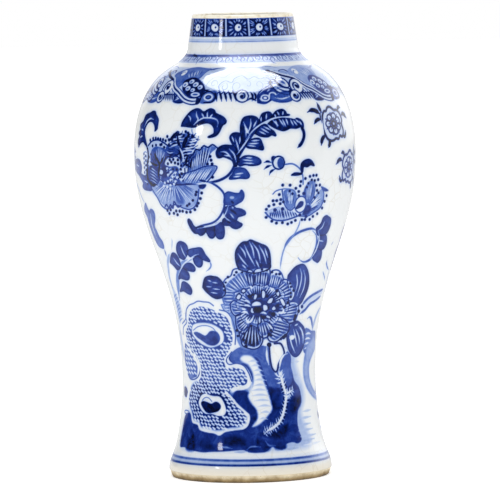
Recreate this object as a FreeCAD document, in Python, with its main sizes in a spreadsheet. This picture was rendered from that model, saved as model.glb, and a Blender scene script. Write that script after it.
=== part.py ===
"""Meiping vase, 250 mm tall: porcelain sections thrown on the wheel, luted with slip and glazed.

The pot is a solid of revolution about Z and stands on z = 0. Its half section is a chain of
cubic curves. Every skin of the pot follows the same chain: a coat of glaze moves the poles
of the chain outwards, and the inner face of a wall moves them inwards.
"""
import FreeCAD, Part
import os
import re
import Sketcher

SIZES = [
    # Heights, stacked from the foot upwards
    ("bare_foot_rise", "3.8"),
    ("flare_rise", "48.2"),
    ("body_rise", "123"),
    ("shoulder_rise", "57.7"),
    ("neck_rise", "17.3"),
    # Outer radii of the fired clay
    ("foot_rest_radius", "42.4"),
    ("foot_radius", "43.75"),
    ("waist_radius", "35.75"),
    ("belly_radius", "59.55"),
    ("root_radius", "29.35"),
    ("lip_radius", "26.95"),
    # Clear radius of the glazed mouth, and the walls
    ("mouth_radius", "23.5"),
    ("waist_wall", "4.6"),
    ("belly_wall", "4.2"),
    ("floor_wall", "6"),
    # Foot ring, turned on the wheel when the clay is leather hard
    ("foot_ring_width", "3.2"),
    ("recess_depth", "8.5"),
    ("recess_taper", "1.6"),
    ("base_dome_rise", "1"),
    ("cut_overrun", "2"),
    ("foot_ring_softening", "0.6"),
    ("lip_outer_softening", "1"),
    ("lip_inner_softening", "0.8"),
    # Luted joints between the thrown sections
    ("slip_gap", "1.4"),
    ("joint_slant_rise", "1.5"),
    # Coats of glaze and the clay that they leave bare
    ("outer_coat", "0.35"),
    ("inner_coat", "0.3"),
    ("base_coat", "0.3"),
    ("bare_lip_outside", "1.8"),
    ("bare_lip_inside", "2.5"),
    ("bare_foot_inside", "3"),
    # Poles of the foot flare
    ("foot_edge_share", "0.13"),
    ("flare_bend_radius_share", "0.4"),
    ("flare_bend_height_share", "0.18"),
    ("flare_top_share", "0.166"),
    # Poles of the long body between waist and belly
    ("body_low_share", "0.474"),
    ("body_high_share", "0.367"),
    # Poles of the shoulder, and the way that they lean outwards from the wall
    ("shoulder_start_share", "0.284"),
    ("crown_radius_share", "0.734"),
    ("crown_height_share", "0.672"),
    ("crown_side_share", "0.83"),
    ("crown_up_share", "0.56"),
    ("nape_radius_share", "0.29"),
    ("nape_height_share", "0.815"),
    ("nape_side_share", "0.56"),
    ("nape_up_share", "0.83"),
    ("root_pole_share", "0.08"),
    ("inner_root_pole_share", "0.15"),
    # Poles of the floor inside and of the dome under the base
    ("floor_flat_share", "0.75"),
    ("floor_corner_share", "1.06"),
    ("floor_corner_height_share", "0.03"),
    ("floor_wall_share", "0.5"),
    ("dome_flat_share", "0.45"),
    ("dome_edge_share", "0.8"),
]

WHOLE_TURN = 360
CUBIC = 3

# Heights of the joints and the lip, above the plane that the foot stands on
WAIST = "(bare_foot_rise + flare_rise)"
BELLY = f"({WAIST} + body_rise)"
ROOT = f"({BELLY} + shoulder_rise)"
LIP = f"({ROOT} + neck_rise)"

# Half of the gap that slip fills in a joint, and the thickness of no coat at all
HALF_GAP = "slip_gap / 2"
BARE = "0"

NECK_LEAN = "(root_radius - lip_radius) / neck_rise"
WAIST_INSIDE = "(waist_radius - waist_wall)"
BELLY_INSIDE = "(belly_radius - belly_wall)"
BORE = "(mouth_radius + inner_coat)"
RECESS_MOUTH = "(foot_rest_radius - foot_ring_width)"
RECESS_END = f"({RECESS_MOUTH} - recess_taper)"
BASE_TOP = "(recess_depth + base_dome_rise)"
FLOOR = f"({BASE_TOP} + floor_wall)"

doc = FreeCAD.newDocument("MeipingVase")
sheet = doc.addObject("Spreadsheet::Sheet", "Sizes")


def fill_sheet():
    """Write one size per row: its name, then its number under that name as alias."""
    for row, (name, amount) in enumerate(SIZES, start=1):
        sheet.set(f"A{row}", name)
        sheet.set(f"B{row}", amount)
        sheet.setAlias(f"B{row}", name)
    doc.recompute()


def on_sheet(expression):
    """Point every size named in an expression at the spreadsheet."""
    return re.sub(r"[a-z]+_[a-z_]+", lambda word: "Sizes." + word.group(), expression)


def measure(expression):
    return float(sheet.evalExpression(on_sheet(expression)))


def place(point):
    across, up = point
    return FreeCAD.Vector(measure(across), measure(up), 0)


class HalfSection:
    """A closed outline on the XZ plane, drawn corner by corner and pinned to the sheet.

    A point is a pair of expressions: its radius and its height.
    """

    def __init__(self, body, name, start):
        self.sketch = body.newObject("Sketcher::SketchObject", name)
        plane = [part for part in body.Origin.OriginFeatures if part.Role == "XZ_Plane"][0]
        self.sketch.AttachmentSupport = [(plane, "")]
        self.sketch.MapMode = "FlatFace"
        self.start = start
        self.corner = start
        self.ends = []

    def bind(self, kind, geometry, vertex, expression):
        """Tie one coordinate of a vertex, measured from the origin, to the sheet."""
        if expression == "0":
            axis = -2 if kind == "DistanceX" else -1
            self.sketch.addConstraint(Sketcher.Constraint("PointOnObject", geometry, vertex, axis))
            return
        pin = Sketcher.Constraint(kind, -1, 1, geometry, vertex, measure(expression))
        index = self.sketch.addConstraint(pin)
        self.sketch.setExpression(f"Constraints[{index}]", on_sheet(expression))

    def pin(self, geometry, vertex, point):
        across, up = point
        self.bind("DistanceX", geometry, vertex, across)
        self.bind("DistanceY", geometry, vertex, up)

    def join(self, geometry, first, last):
        """Join the vertex that starts a new edge to the end of the edge before it."""
        if self.ends:
            before = self.ends[-1]
            link = Sketcher.Constraint("Coincident", before[0], before[2], geometry, first)
            self.sketch.addConstraint(link)
        self.ends.append((geometry, first, last))

    def line(self, *points):
        for point in points:
            edge = Part.LineSegment(place(self.corner), place(point))
            geometry = self.sketch.addGeometry(edge, False)
            self.join(geometry, 1, 2)
            self.pin(geometry, 2, point)
            self.corner = point

    def curve(self, *poles):
        """Draw a clamped cubic from the last corner, with its poles pinned one by one."""
        poles = (self.corner,) + poles
        spans = len(poles) - CUBIC
        multiplicities = [CUBIC + 1] + [1] * (spans - 1) + [CUBIC + 1]
        edge = Part.BSplineCurve()
        edge.buildFromPolesMultsKnots(
            [place(pole) for pole in poles], multiplicities, range(spans + 1), False, CUBIC
        )
        geometry = self.sketch.addGeometry(edge, False)
        self.sketch.exposeInternalGeometry(geometry)
        self.join(geometry, 1, 2)
        for step, pole in enumerate(poles[1:], start=1):
            self.pin(geometry + 1 + step, 3, pole)
        self.corner = poles[-1]

    def back_along(self, poles):
        """Draw a line to the far end of a curve, then the curve in reverse."""
        if self.corner != poles[-1]:
            self.line(poles[-1])
        self.curve(*poles[-2::-1])

    def bulge(self, centre, point):
        """Draw an arc that bulges towards the axis, about a centre on the wall."""
        first, last, middle = place(self.corner), place(point), place(centre)
        inmost = middle - FreeCAD.Vector((last - middle).Length, 0, 0)
        geometry = self.sketch.addGeometry(Part.Arc(first, inmost, last), False)
        start, end = (2, 1) if last.y > first.y else (1, 2)
        self.join(geometry, start, end)
        self.pin(geometry, end, point)
        self.bind("DistanceX", geometry, 3, centre[0])
        self.corner = point

    def close(self):
        """Lead the outline back to its start, with a last line where one is needed."""
        if self.corner != self.start:
            self.line(self.start)
        first, last = self.ends[0], self.ends[-1]
        link = Sketcher.Constraint("Coincident", last[0], last[2], first[0], first[1])
        self.sketch.addConstraint(link)
        return self.sketch


def new_body(name):
    body = doc.addObject("PartDesign::Body", name)
    body.Label = name
    return body


def turn(body, kind, name, section):
    """Turn a half section about Z, as clay on a wheel, to add or to cut."""
    feature = body.newObject(f"PartDesign::{kind}", name)
    feature.Profile = section
    feature.ReferenceAxis = (section, ["V_Axis"])
    feature.Angle = WHOLE_TURN
    doc.recompute()
    return feature


def soften(body, base, name, height, radius, size):
    """Round the circular edge that lies at a height and radius."""
    wanted = FreeCAD.Vector(measure(radius), 0, measure(height))
    misses = {}
    for index, edge in enumerate(base.Shape.Edges, start=1):
        if edge.isClosed() and not edge.Degenerated:
            misses[f"Edge{index}"] = edge.Vertexes[0].Point.distanceToPoint(wanted)
    feature = body.newObject("PartDesign::Fillet", name)
    feature.Base = (base, [min(misses, key=misses.get)])
    feature.setExpression("Radius", on_sheet(size))
    doc.recompute()
    return feature


# The chain of curves outside, each moved outwards by the thickness of a coat

def flare_poles(coat):
    """From the foot's edge up to the waist joint, after the first corner."""
    bend_radius = f"waist_radius + (foot_radius - waist_radius) * flare_bend_radius_share + {coat}"
    return [
        (f"foot_radius + {coat}", "bare_foot_rise + flare_rise * foot_edge_share"),
        (bend_radius, "bare_foot_rise + flare_rise * flare_bend_height_share"),
        (f"waist_radius + {coat}", f"{WAIST} - {HALF_GAP} - flare_rise * flare_top_share"),
        (f"waist_radius + {coat}", f"{WAIST} - {HALF_GAP}"),
    ]


def body_poles(coat):
    """From the waist joint up to the belly joint, with the first corner."""
    return [
        (f"waist_radius + {coat}", f"{WAIST} + {HALF_GAP}"),
        (f"waist_radius + {coat}", f"{WAIST} + {HALF_GAP} + body_rise * body_low_share"),
        (f"belly_radius + {coat}", f"{BELLY} - {HALF_GAP} - body_rise * body_high_share"),
        (f"belly_radius + {coat}", f"{BELLY} - {HALF_GAP}"),
    ]


def shoulder_point(radius_share, height_share, side_share, up_share, coat):
    radius = f"root_radius + (belly_radius - root_radius) * {radius_share} + ({coat}) * {side_share}"
    return radius, f"{BELLY} + shoulder_rise * {height_share} + ({coat}) * {up_share}"


def crown(coat):
    return shoulder_point(
        "crown_radius_share", "crown_height_share", "crown_side_share", "crown_up_share", coat
    )


def nape(coat):
    return shoulder_point(
        "nape_radius_share", "nape_height_share", "nape_side_share", "nape_up_share", coat
    )


def neck_radius(height_above_root, coat):
    return f"root_radius - {NECK_LEAN} * ({height_above_root}) + {coat}"


def shoulder_poles(coat):
    """From the belly joint over the shoulder and up into the neck, with the first corner."""
    below_root = f"0 - {HALF_GAP} - shoulder_rise * root_pole_share"
    return [
        (f"belly_radius + {coat}", f"{BELLY} + {HALF_GAP}"),
        (f"belly_radius + {coat}", f"{BELLY} + {HALF_GAP} + shoulder_rise * shoulder_start_share"),
        crown(coat),
        nape(coat),
        (neck_radius(below_root, coat), f"{ROOT} + ({below_root})"),
        (neck_radius(f"0 - {HALF_GAP}", coat), f"{ROOT} - {HALF_GAP}"),
    ]


# The chain inside, each curve moved towards the axis by the thickness of a coat. A curve
# ends short of a joint by the reach of the bead there.

def floor_poles(coat, reach):
    """From the middle of the floor out to the wall and up to the waist joint."""
    inner_rise = f"({WAIST} - {FLOOR})"
    corner_radius = f"{WAIST_INSIDE} * floor_corner_share - {coat}"
    corner_height = f"{FLOOR} + {inner_rise} * floor_corner_height_share + {coat}"
    return [
        ("0", f"{FLOOR} + {coat}"),
        (f"{WAIST_INSIDE} * floor_flat_share", f"{FLOOR} + {coat}"),
        (corner_radius, corner_height),
        (f"{WAIST_INSIDE} - {coat}", f"{FLOOR} + {inner_rise} * floor_wall_share"),
        (f"{WAIST_INSIDE} - {coat}", f"{WAIST} + joint_slant_rise - {reach}"),
    ]


def body_inside_poles(coat, reach):
    """From the waist joint up to the belly joint."""
    return [
        (f"{WAIST_INSIDE} - {coat}", f"{WAIST} + joint_slant_rise + {reach}"),
        (f"{WAIST_INSIDE} - {coat}", f"{WAIST} + {HALF_GAP} + body_rise * body_low_share"),
        (f"{BELLY_INSIDE} - {coat}", f"{BELLY} - {HALF_GAP} - body_rise * body_high_share"),
        (f"{BELLY_INSIDE} - {coat}", f"{BELLY} + joint_slant_rise - {reach}"),
    ]


def shoulder_inside_poles(coat, reach):
    """From the belly joint over the shoulder and up into the straight bore."""
    depth = f"0 - belly_wall - {coat}"
    return [
        (f"{BELLY_INSIDE} - {coat}", f"{BELLY} + joint_slant_rise + {reach}"),
        (f"{BELLY_INSIDE} - {coat}", f"{BELLY} + {HALF_GAP} + shoulder_rise * shoulder_start_share"),
        crown(depth),
        nape(depth),
        (f"{BORE} - {coat}", f"{ROOT} - shoulder_rise * inner_root_pole_share"),
        (f"{BORE} - {coat}", f"{ROOT} + joint_slant_rise - {HALF_GAP}"),
    ]


def base_poles(coat):
    """The dome under the base, from its middle out to the wall of the recess."""
    dome_edge = f"recess_depth + base_dome_rise * (1 - dome_edge_share) - {coat}"
    return [
        ("0", f"{BASE_TOP} - {coat}"),
        (f"{RECESS_END} * dome_flat_share", f"{BASE_TOP} - {coat}"),
        (f"{RECESS_END} * dome_edge_share", dome_edge),
        (f"{RECESS_END} - {coat}", f"recess_depth - {coat}"),
    ]


def recess_radius(height):
    return f"{RECESS_MOUTH} - recess_taper * ({height}) / recess_depth"


# The thrown sections

def foot_section():
    """The foot: a thick floor, a flared wall, and a ring that is turned out from below."""
    body = new_body("foot_section")
    outline = HalfSection(body, "foot_half_section", ("0", "0"))
    outline.line(("foot_rest_radius", "0"), ("foot_radius", "bare_foot_rise"))
    outline.curve(*flare_poles(BARE))
    outline.back_along(floor_poles(BARE, HALF_GAP))
    thrown = turn(body, "Revolution", "thrown_foot", outline.close())

    cutter = HalfSection(body, "recess_half_section", ("0", "0 - cut_overrun"))
    cutter.line((RECESS_MOUTH, "0 - cut_overrun"), (RECESS_MOUTH, "0"))
    cutter.back_along(base_poles(BARE))
    recessed = turn(body, "Groove", "turned_recess", cutter.close())
    if recessed.Shape.Volume >= thrown.Shape.Volume:
        raise RuntimeError("the recess cut nothing from the foot")

    outer = soften(body, recessed, "softened_rest", "0", "foot_rest_radius", "foot_ring_softening")
    soften(body, outer, "softened_recess_edge", "0", RECESS_MOUTH, "foot_ring_softening")


def thrown_wall(name, outside, inside):
    """A ring of wall between two slanted joint faces."""
    body = new_body(name)
    outline = HalfSection(body, f"{name}_half_section", outside[0])
    outline.curve(*outside[1:])
    outline.back_along(inside)
    turn(body, "Revolution", f"thrown_{name}", outline.close())


def neck_section():
    """The short neck, which leans in to a flat lip round a straight bore."""
    body = new_body("neck_section")
    outline = HalfSection(body, "neck_half_section", (neck_radius(HALF_GAP, BARE), f"{ROOT} + {HALF_GAP}"))
    outline.line(
        ("lip_radius", LIP),
        (BORE, LIP),
        (BORE, f"{ROOT} + joint_slant_rise + {HALF_GAP}"),
    )
    thrown = turn(body, "Revolution", "thrown_neck", outline.close())
    outer = soften(body, thrown, "softened_lip", LIP, "lip_radius", "lip_outer_softening")
    soften(body, outer, "softened_mouth", LIP, BORE, "lip_inner_softening")


# The rings of slip in the joints

def bead_seam(name, height, radius, inside):
    """Slip between two slanted joint faces, squeezed out inside as a round bead."""
    body = new_body(name)
    middle = f"{height} + joint_slant_rise"
    outline = HalfSection(body, f"{name}_half_section", (radius, f"{height} - {HALF_GAP}"))
    outline.line((radius, f"{height} + {HALF_GAP}"), (inside, f"{middle} + {HALF_GAP}"))
    outline.bulge((inside, middle), (inside, f"{middle} - {HALF_GAP}"))
    turn(body, "Revolution", f"{name}_ring", outline.close())


def neck_seam():
    """The highest joint is wiped flush inside, where a finger reaches it."""
    body = new_body("neck_seam")
    low = (neck_radius(f"0 - {HALF_GAP}", BARE), f"{ROOT} - {HALF_GAP}")
    outline = HalfSection(body, "neck_seam_half_section", low)
    outline.line(
        (neck_radius(HALF_GAP, BARE), f"{ROOT} + {HALF_GAP}"),
        (BORE, f"{ROOT} + joint_slant_rise + {HALF_GAP}"),
        (BORE, f"{ROOT} + joint_slant_rise - {HALF_GAP}"),
    )
    turn(body, "Revolution", "neck_seam_ring", outline.close())


# The coats of glaze

def outer_glaze():
    """The coat outside, from the bare foot band up to the bare lip, with thinned edges."""
    body = new_body("outer_glaze")
    coat = "outer_coat"
    start = ("foot_radius", "bare_foot_rise")
    outline = HalfSection(body, "outer_glaze_half_section", start)
    outline.line((f"foot_radius + {coat}", f"bare_foot_rise + {coat}"))
    outline.curve(*flare_poles(coat))
    for poles in (body_poles(coat), shoulder_poles(coat)):
        outline.line(poles[0])
        outline.curve(*poles[1:])
    edge = "neck_rise - bare_lip_outside"
    outline.line(
        (neck_radius(f"{edge} - {coat}", coat), f"{ROOT} + {edge} - {coat}"),
        (neck_radius(edge, BARE), f"{ROOT} + {edge}"),
    )
    outline.back_along(shoulder_poles(BARE))
    outline.back_along(body_poles(BARE))
    outline.back_along([start] + flare_poles(BARE))
    turn(body, "Revolution", "outer_coat", outline.close())


def inner_glaze():
    """The lining, from the middle of the floor, over the beads of slip, to below the lip."""
    body = new_body("inner_glaze")
    coat = "inner_coat"
    reach = f"sqrt(({HALF_GAP} + {coat}) ^ 2 - {coat} ^ 2)"
    waist_bead = (WAIST_INSIDE, f"{WAIST} + joint_slant_rise")
    belly_bead = (BELLY_INSIDE, f"{BELLY} + joint_slant_rise")

    clay = [curve(BARE, HALF_GAP) for curve in (floor_poles, body_inside_poles, shoulder_inside_poles)]
    outline = HalfSection(body, "inner_glaze_half_section", clay[0][0])
    outline.curve(*clay[0][1:])
    outline.bulge(waist_bead, clay[1][0])
    outline.curve(*clay[1][1:])
    outline.bulge(belly_bead, clay[2][0])
    outline.curve(*clay[2][1:])
    outline.line((BORE, f"{LIP} - bare_lip_inside"))

    open_side = [curve(coat, reach) for curve in (floor_poles, body_inside_poles, shoulder_inside_poles)]
    outline.line((f"{BORE} - {coat}", f"{LIP} - bare_lip_inside - {coat}"))
    outline.back_along(open_side[2])
    outline.bulge(belly_bead, open_side[1][-1])
    outline.back_along(open_side[1])
    outline.bulge(waist_bead, open_side[0][-1])
    outline.back_along(open_side[0])
    turn(body, "Revolution", "inner_coat", outline.close())


def base_glaze():
    """The coat under the base, which stops short of the ring that the vase stands on."""
    body = new_body("base_glaze")
    coat = "base_coat"
    clay = base_poles(BARE)
    outline = HalfSection(body, "base_glaze_half_section", clay[0])
    outline.curve(*clay[1:])
    outline.line(
        (recess_radius("bare_foot_inside"), "bare_foot_inside"),
        (f"{recess_radius('bare_foot_inside')} - {coat}", f"bare_foot_inside + {coat}"),
    )
    outline.back_along(base_poles(coat))
    turn(body, "Revolution", "base_coat", outline.close())


def check_and_write():
    """Write each sub-part to its own file, once every object of the document is sound."""
    for item in doc.Objects:
        if "Invalid" in item.State or "Error" in item.State:
            raise RuntimeError(f"{item.Name} failed: {item.State}")
    bodies = [item for item in doc.Objects if item.TypeId == "PartDesign::Body"]
    for body in bodies:
        if body.Shape.isNull() or not body.Shape.isValid() or len(body.Shape.Solids) != 1:
            raise RuntimeError(f"{body.Label} is not one sound solid")
    os.makedirs("parts", exist_ok=True)
    for body in bodies:
        body.Shape.exportStep(f"parts/{body.Label}.step")
        print(f"{body.Label}: {body.Shape.Volume:.1f} cubic mm")


fill_sheet()
foot_section()
thrown_wall("lower_body", body_poles(BARE), body_inside_poles(BARE, HALF_GAP))
thrown_wall("shoulder_section", shoulder_poles(BARE), shoulder_inside_poles(BARE, HALF_GAP))
neck_section()
bead_seam("waist_seam", WAIST, "waist_radius", WAIST_INSIDE)
bead_seam("belly_seam", BELLY, "belly_radius", BELLY_INSIDE)
neck_seam()
outer_glaze()
inner_glaze()
base_glaze()
doc.recompute()
check_and_write()
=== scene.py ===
"""Meiping vase in underglaze blue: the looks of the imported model, piece by piece from the foot up."""
import math
import bmesh
import bpy
import numpy as np
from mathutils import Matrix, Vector


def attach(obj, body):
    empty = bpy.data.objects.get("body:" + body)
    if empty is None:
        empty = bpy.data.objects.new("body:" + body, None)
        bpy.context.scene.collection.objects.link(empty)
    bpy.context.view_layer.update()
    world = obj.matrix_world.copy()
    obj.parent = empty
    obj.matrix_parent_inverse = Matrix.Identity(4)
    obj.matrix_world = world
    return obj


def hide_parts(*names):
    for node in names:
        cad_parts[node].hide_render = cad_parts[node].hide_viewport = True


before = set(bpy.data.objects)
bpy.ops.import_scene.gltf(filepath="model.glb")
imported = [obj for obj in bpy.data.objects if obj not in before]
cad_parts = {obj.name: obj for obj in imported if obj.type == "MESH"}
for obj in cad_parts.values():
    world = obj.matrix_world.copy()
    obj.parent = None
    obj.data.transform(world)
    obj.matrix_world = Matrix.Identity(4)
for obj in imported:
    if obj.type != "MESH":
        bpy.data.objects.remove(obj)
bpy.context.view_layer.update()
MM = 0.001

# The camera stands in front of the vase, a little above its mouth, with a long lens. The
# photograph leans by a degree, and the vase stands just left of and above its middle.
CAMERA_PLACE = Vector((0, -2.794, 0.315))
CAMERA_TARGET = Vector((0.0018, 0, 0.1220))
CAMERA_LEAN = math.radians(1.033)
CAMERA_LENS_PIXELS = 5172
PICTURE_PIXELS = 500
SENSOR_WIDTH = 36

camera_data = bpy.data.cameras.new("camera")
camera_data.sensor_width = SENSOR_WIDTH
camera_data.lens = CAMERA_LENS_PIXELS / PICTURE_PIXELS * SENSOR_WIDTH
camera = bpy.data.objects.new("camera", camera_data)
bpy.context.collection.objects.link(camera)
camera.location = CAMERA_PLACE
aim = (CAMERA_TARGET - CAMERA_PLACE).to_track_quat("-Z", "Y").to_euler()
camera.rotation_euler = aim
camera.rotation_euler.rotate_axis("Z", -CAMERA_LEAN)
bpy.context.scene.camera = camera
bpy.context.scene.view_settings.view_transform = "Standard"

# The vase was thrown in four parts of buff clay, joined, and fired. The clay shows only
# where the glaze was wiped off: round the foot, on the foot ring and on top of the lip.
def new_material(name):
    """A node material and its principled shader."""
    material = bpy.data.materials.new(name)
    material.use_nodes = True
    return material, material.node_tree, material.node_tree.nodes["Principled BSDF"]


def node(tree, kind, settings=None, **links):
    """A shader node with its input values or the sockets that feed them."""
    made = tree.nodes.new(kind)
    for key, value in (settings or {}).items():
        setattr(made, key, value)
    for key, value in links.items():
        socket = made.inputs[int(key[1:])] if key[0] == "i" and key[1:].isdigit() else made.inputs[key]
        if isinstance(value, bpy.types.NodeSocket):
            tree.links.new(value, socket)
        else:
            socket.default_value = value
    return made


def colour(red, green, blue):
    """A colour picked as 0 to 255, for a shader socket."""
    def linear(value):
        value = value / 255
        return value / 12.92 if value <= 0.04045 else ((value + 0.055) / 1.055) ** 2.4
    return (linear(red), linear(green), linear(blue), 1)


def ramp(tree, factor, stops):
    """A colour ramp through (place, colour) stops."""
    made = tree.nodes.new("ShaderNodeValToRGB")
    tree.links.new(factor, made.inputs["Fac"])
    elements = made.color_ramp.elements
    while len(elements) < len(stops):
        elements.new(1)
    for element, (place, shade) in zip(elements, stops):
        element.position = place
        element.color = shade
    return made.outputs["Color"]


def mix(tree, factor, first, second, blend="MIX"):
    """One colour over another."""
    made = tree.nodes.new("ShaderNodeMix")
    made.data_type = "RGBA"
    made.blend_type = blend
    for socket, value in ((0, factor), (6, first), (7, second)):
        if isinstance(value, bpy.types.NodeSocket):
            tree.links.new(value, made.inputs[socket])
        else:
            made.inputs[socket].default_value = value
    return made.outputs[2]


def place_of(tree):
    """The object's own coordinates, in metres."""
    return tree.nodes.new("ShaderNodeTexCoord").outputs["Object"]


def height_of(tree):
    """The height above the table, in metres."""
    return node(tree, "ShaderNodeSeparateXYZ", Vector=place_of(tree)).outputs["Z"]


def product(tree, first, second):
    """One value times another."""
    return node(tree, "ShaderNodeMath", {"operation": "MULTIPLY"}, i0=first, i1=second).outputs[0]


def dress(name, material):
    """Gives a CAD node this material in every slot."""
    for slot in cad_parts[name].material_slots:
        slot.material = material


# How fast the painted contact shadow on the bare clay of the foot fades with height.
CONTACT_SHADE_PER_METRE = 130

clay, tree, shader = new_material("bare_clay")
place = place_of(tree)
mottle = node(tree, "ShaderNodeTexNoise", Vector=place, Scale=160, Detail=5, Roughness=0.6)
specks = node(tree, "ShaderNodeTexNoise", Vector=place, Scale=1400, Detail=2, Roughness=0.7)
grain = node(tree, "ShaderNodeTexNoise", Vector=place, Scale=3200, Detail=3)
body_colour = ramp(tree, mottle.outputs["Fac"],
    [(0.3, colour(198, 180, 146)), (0.52, colour(221, 207, 176)), (0.72, colour(232, 220, 192))])
# The clay is darkened over its lowest few millimetres towards the table, with a ragged upper edge: a
# painted contact shadow.
ragged = product(tree, mottle.outputs["Fac"], 0.35)
shade_rise = node(tree, "ShaderNodeMath", {"operation": "MULTIPLY_ADD"}, i0=height_of(tree), i1=CONTACT_SHADE_PER_METRE,
    i2=ragged)
contact_shade = ramp(tree, shade_rise.outputs[0],
    [(0.18, colour(104, 92, 72)), (0.4, colour(188, 172, 142)), (0.62, (1, 1, 1, 1))])
body_colour = mix(tree, 1.0, body_colour, contact_shade, "MULTIPLY")
speck_share = ramp(tree, specks.outputs["Fac"], [(0.64, (0, 0, 0, 1)), (0.74, (0.8, 0.8, 0.8, 1))])
tree.links.new(mix(tree, speck_share, body_colour, colour(112, 84, 54)), shader.inputs["Base Color"])
shader.inputs["Roughness"].default_value = 0.72
clay_bump = node(tree, "ShaderNodeBump", Strength=0.35, Distance=0.0002, Height=grain.outputs["Fac"])
tree.links.new(clay_bump.outputs["Normal"], shader.inputs["Normal"])
for name in ("foot_section", "lower_body", "shoulder_section"):
    dress(name, clay)

# The lip was wiped bare as the foot was, then rubbed paler and smoother, and a trace of
# glaze is left on it.
lip_clay, tree, shader = new_material("lip_clay")
stain = node(tree, "ShaderNodeTexNoise", Vector=place_of(tree), Scale=260, Detail=4, Roughness=0.6)
lip_colour = ramp(tree, stain.outputs["Fac"],
    [(0.32, colour(226, 212, 180)), (0.5, colour(250, 243, 224)), (0.7, colour(255, 251, 238))])
tree.links.new(lip_colour, shader.inputs["Base Color"])
shader.inputs["Roughness"].default_value = 0.5
lip_bump = node(tree, "ShaderNodeBump", Strength=0.25, Distance=0.0002, Height=stain.outputs["Fac"])
tree.links.new(lip_bump.outputs["Normal"], shader.inputs["Normal"])
dress("neck_section", lip_clay)

# The parts were stuck together with slip, a thin cream of the same clay, whose beads at
# the waist, the belly and the root of the neck are under the glaze.
slip, tree, shader = new_material("joint_slip")
streak = node(tree, "ShaderNodeTexNoise", Vector=place_of(tree), Scale=420, Detail=4, Distortion=0.8)
slip_colour = ramp(tree, streak.outputs["Fac"],
    [(0.35, colour(190, 178, 152)), (0.65, colour(219, 210, 188))])
tree.links.new(slip_colour, shader.inputs["Base Color"])
shader.inputs["Roughness"].default_value = 0.65
slip_bump = node(tree, "ShaderNodeBump", Strength=0.3, Distance=0.0002, Height=streak.outputs["Fac"])
tree.links.new(slip_bump.outputs["Normal"], shader.inputs["Normal"])
for name in ("waist_seam", "belly_seam", "neck_seam"):
    dress(name, slip)

# The glaze is clear and slightly blue over white slip, with a fine crackle. The same coat
# lines the inside and covers the recess under the foot, where it has no painting.
GLAZE_WHITE = colour(236, 239, 240)
VASE_HEIGHT = 0.25
WARM_FOOT = 0.025


def glaze_surface(tree, shader, base, cracks=0.5):
    """Lays the crackle, the faint dimples and the gloss over a base colour."""
    place = place_of(tree)
    drift = node(tree, "ShaderNodeTexNoise", Vector=place, Scale=70, Detail=2)
    bent = node(tree, "ShaderNodeMix", {"data_type": "VECTOR"})
    bent.inputs[0].default_value = 0.01
    tree.links.new(place, bent.inputs[4])
    tree.links.new(drift.outputs["Color"], bent.inputs[5])
    cells = node(tree, "ShaderNodeTexVoronoi", {"feature": "DISTANCE_TO_EDGE"}, Vector=bent.outputs[1],
        Scale=150)
    line = ramp(tree, cells.outputs["Distance"], [(0.0, (1, 1, 1, 1)), (0.045, (0, 0, 0, 1))])
    patches = node(tree, "ShaderNodeTexNoise", Vector=place, Scale=40, Detail=1)
    shown = ramp(tree, patches.outputs["Fac"], [(0.4, (0, 0, 0, 1)), (0.65, (cracks, cracks, cracks, 1))])
    share = mix(tree, 1.0, line, shown, "MULTIPLY")
    height = height_of(tree)
    thin = ramp(tree, product(tree, height, 1 / WARM_FOOT),
        [(0.16, colour(252, 241, 222)), (0.5, (1, 1, 1, 1))])
    toned = mix(tree, 1.0, base, thin, "MULTIPLY")
    tree.links.new(mix(tree, share, toned, colour(226, 216, 196), "MULTIPLY"), shader.inputs["Base Color"])
    glossy, matt = (0.07, 0.07, 0.07, 1), (0.34, 0.34, 0.34, 1)
    nape = ramp(tree, product(tree, height, 1 / VASE_HEIGHT),
        [(0.886, glossy), (0.9, matt), (0.914, matt), (0.925, glossy)])
    tree.links.new(nape, shader.inputs["Roughness"])
    shader.inputs["IOR"].default_value = 1.52
    dimples = node(tree, "ShaderNodeTexNoise", Vector=place, Scale=90, Detail=3, Roughness=0.55)
    bump = node(tree, "ShaderNodeBump", Strength=0.2, Distance=0.0004, Height=dimples.outputs["Fac"])
    tree.links.new(bump.outputs["Normal"], shader.inputs["Normal"])


plain_glaze, tree, shader = new_material("clear_glaze")
tint = node(tree, "ShaderNodeTexNoise", Vector=place_of(tree), Scale=38, Detail=3)
plain_white = ramp(tree, tint.outputs["Fac"], [(0.3, colour(228, 232, 232)), (0.7, GLAZE_WHITE)])
glaze_surface(tree, shader, plain_white)
dress("base_glaze", plain_glaze)


# The lining is glaze poured in and turned out again, so it runs over the inside from the
# floor to just below the rim. It is in three pieces: the floor, the wall and the shoulder.
SHARP_ANGLE = math.radians(50)


def turned(name, profile, steps, material):
    """A closed ring turned from a closed profile of (radius, height) in mm, glazed and shown."""
    section = np.array(list(profile) + list(profile[:1]), float) * MM
    bm = bmesh.new()
    bmesh.ops.create_grid(bm, x_segments=steps, y_segments=len(profile), size=1)
    for vertex in bm.verts:
        radius, height = section[round((vertex.co.y + 1) / 2 * len(profile))]
        turn = vertex.co.x * math.pi
        vertex.co = (radius * math.sin(turn), -radius * math.cos(turn), height)
    bmesh.ops.remove_doubles(bm, verts=bm.verts, dist=1e-7)
    bmesh.ops.dissolve_degenerate(bm, edges=bm.edges, dist=1e-8)
    bmesh.ops.recalc_face_normals(bm, faces=bm.faces)
    mesh = bpy.data.meshes.new(name)
    bm.to_mesh(mesh)
    bm.free()
    mesh.shade_smooth()
    mesh.set_sharp_from_angle(angle=SHARP_ANGLE)
    piece = bpy.data.objects.new(name, mesh)
    bpy.context.collection.objects.link(piece)
    mesh.materials.append(material)
    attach(piece, "root")
    return piece


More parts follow.
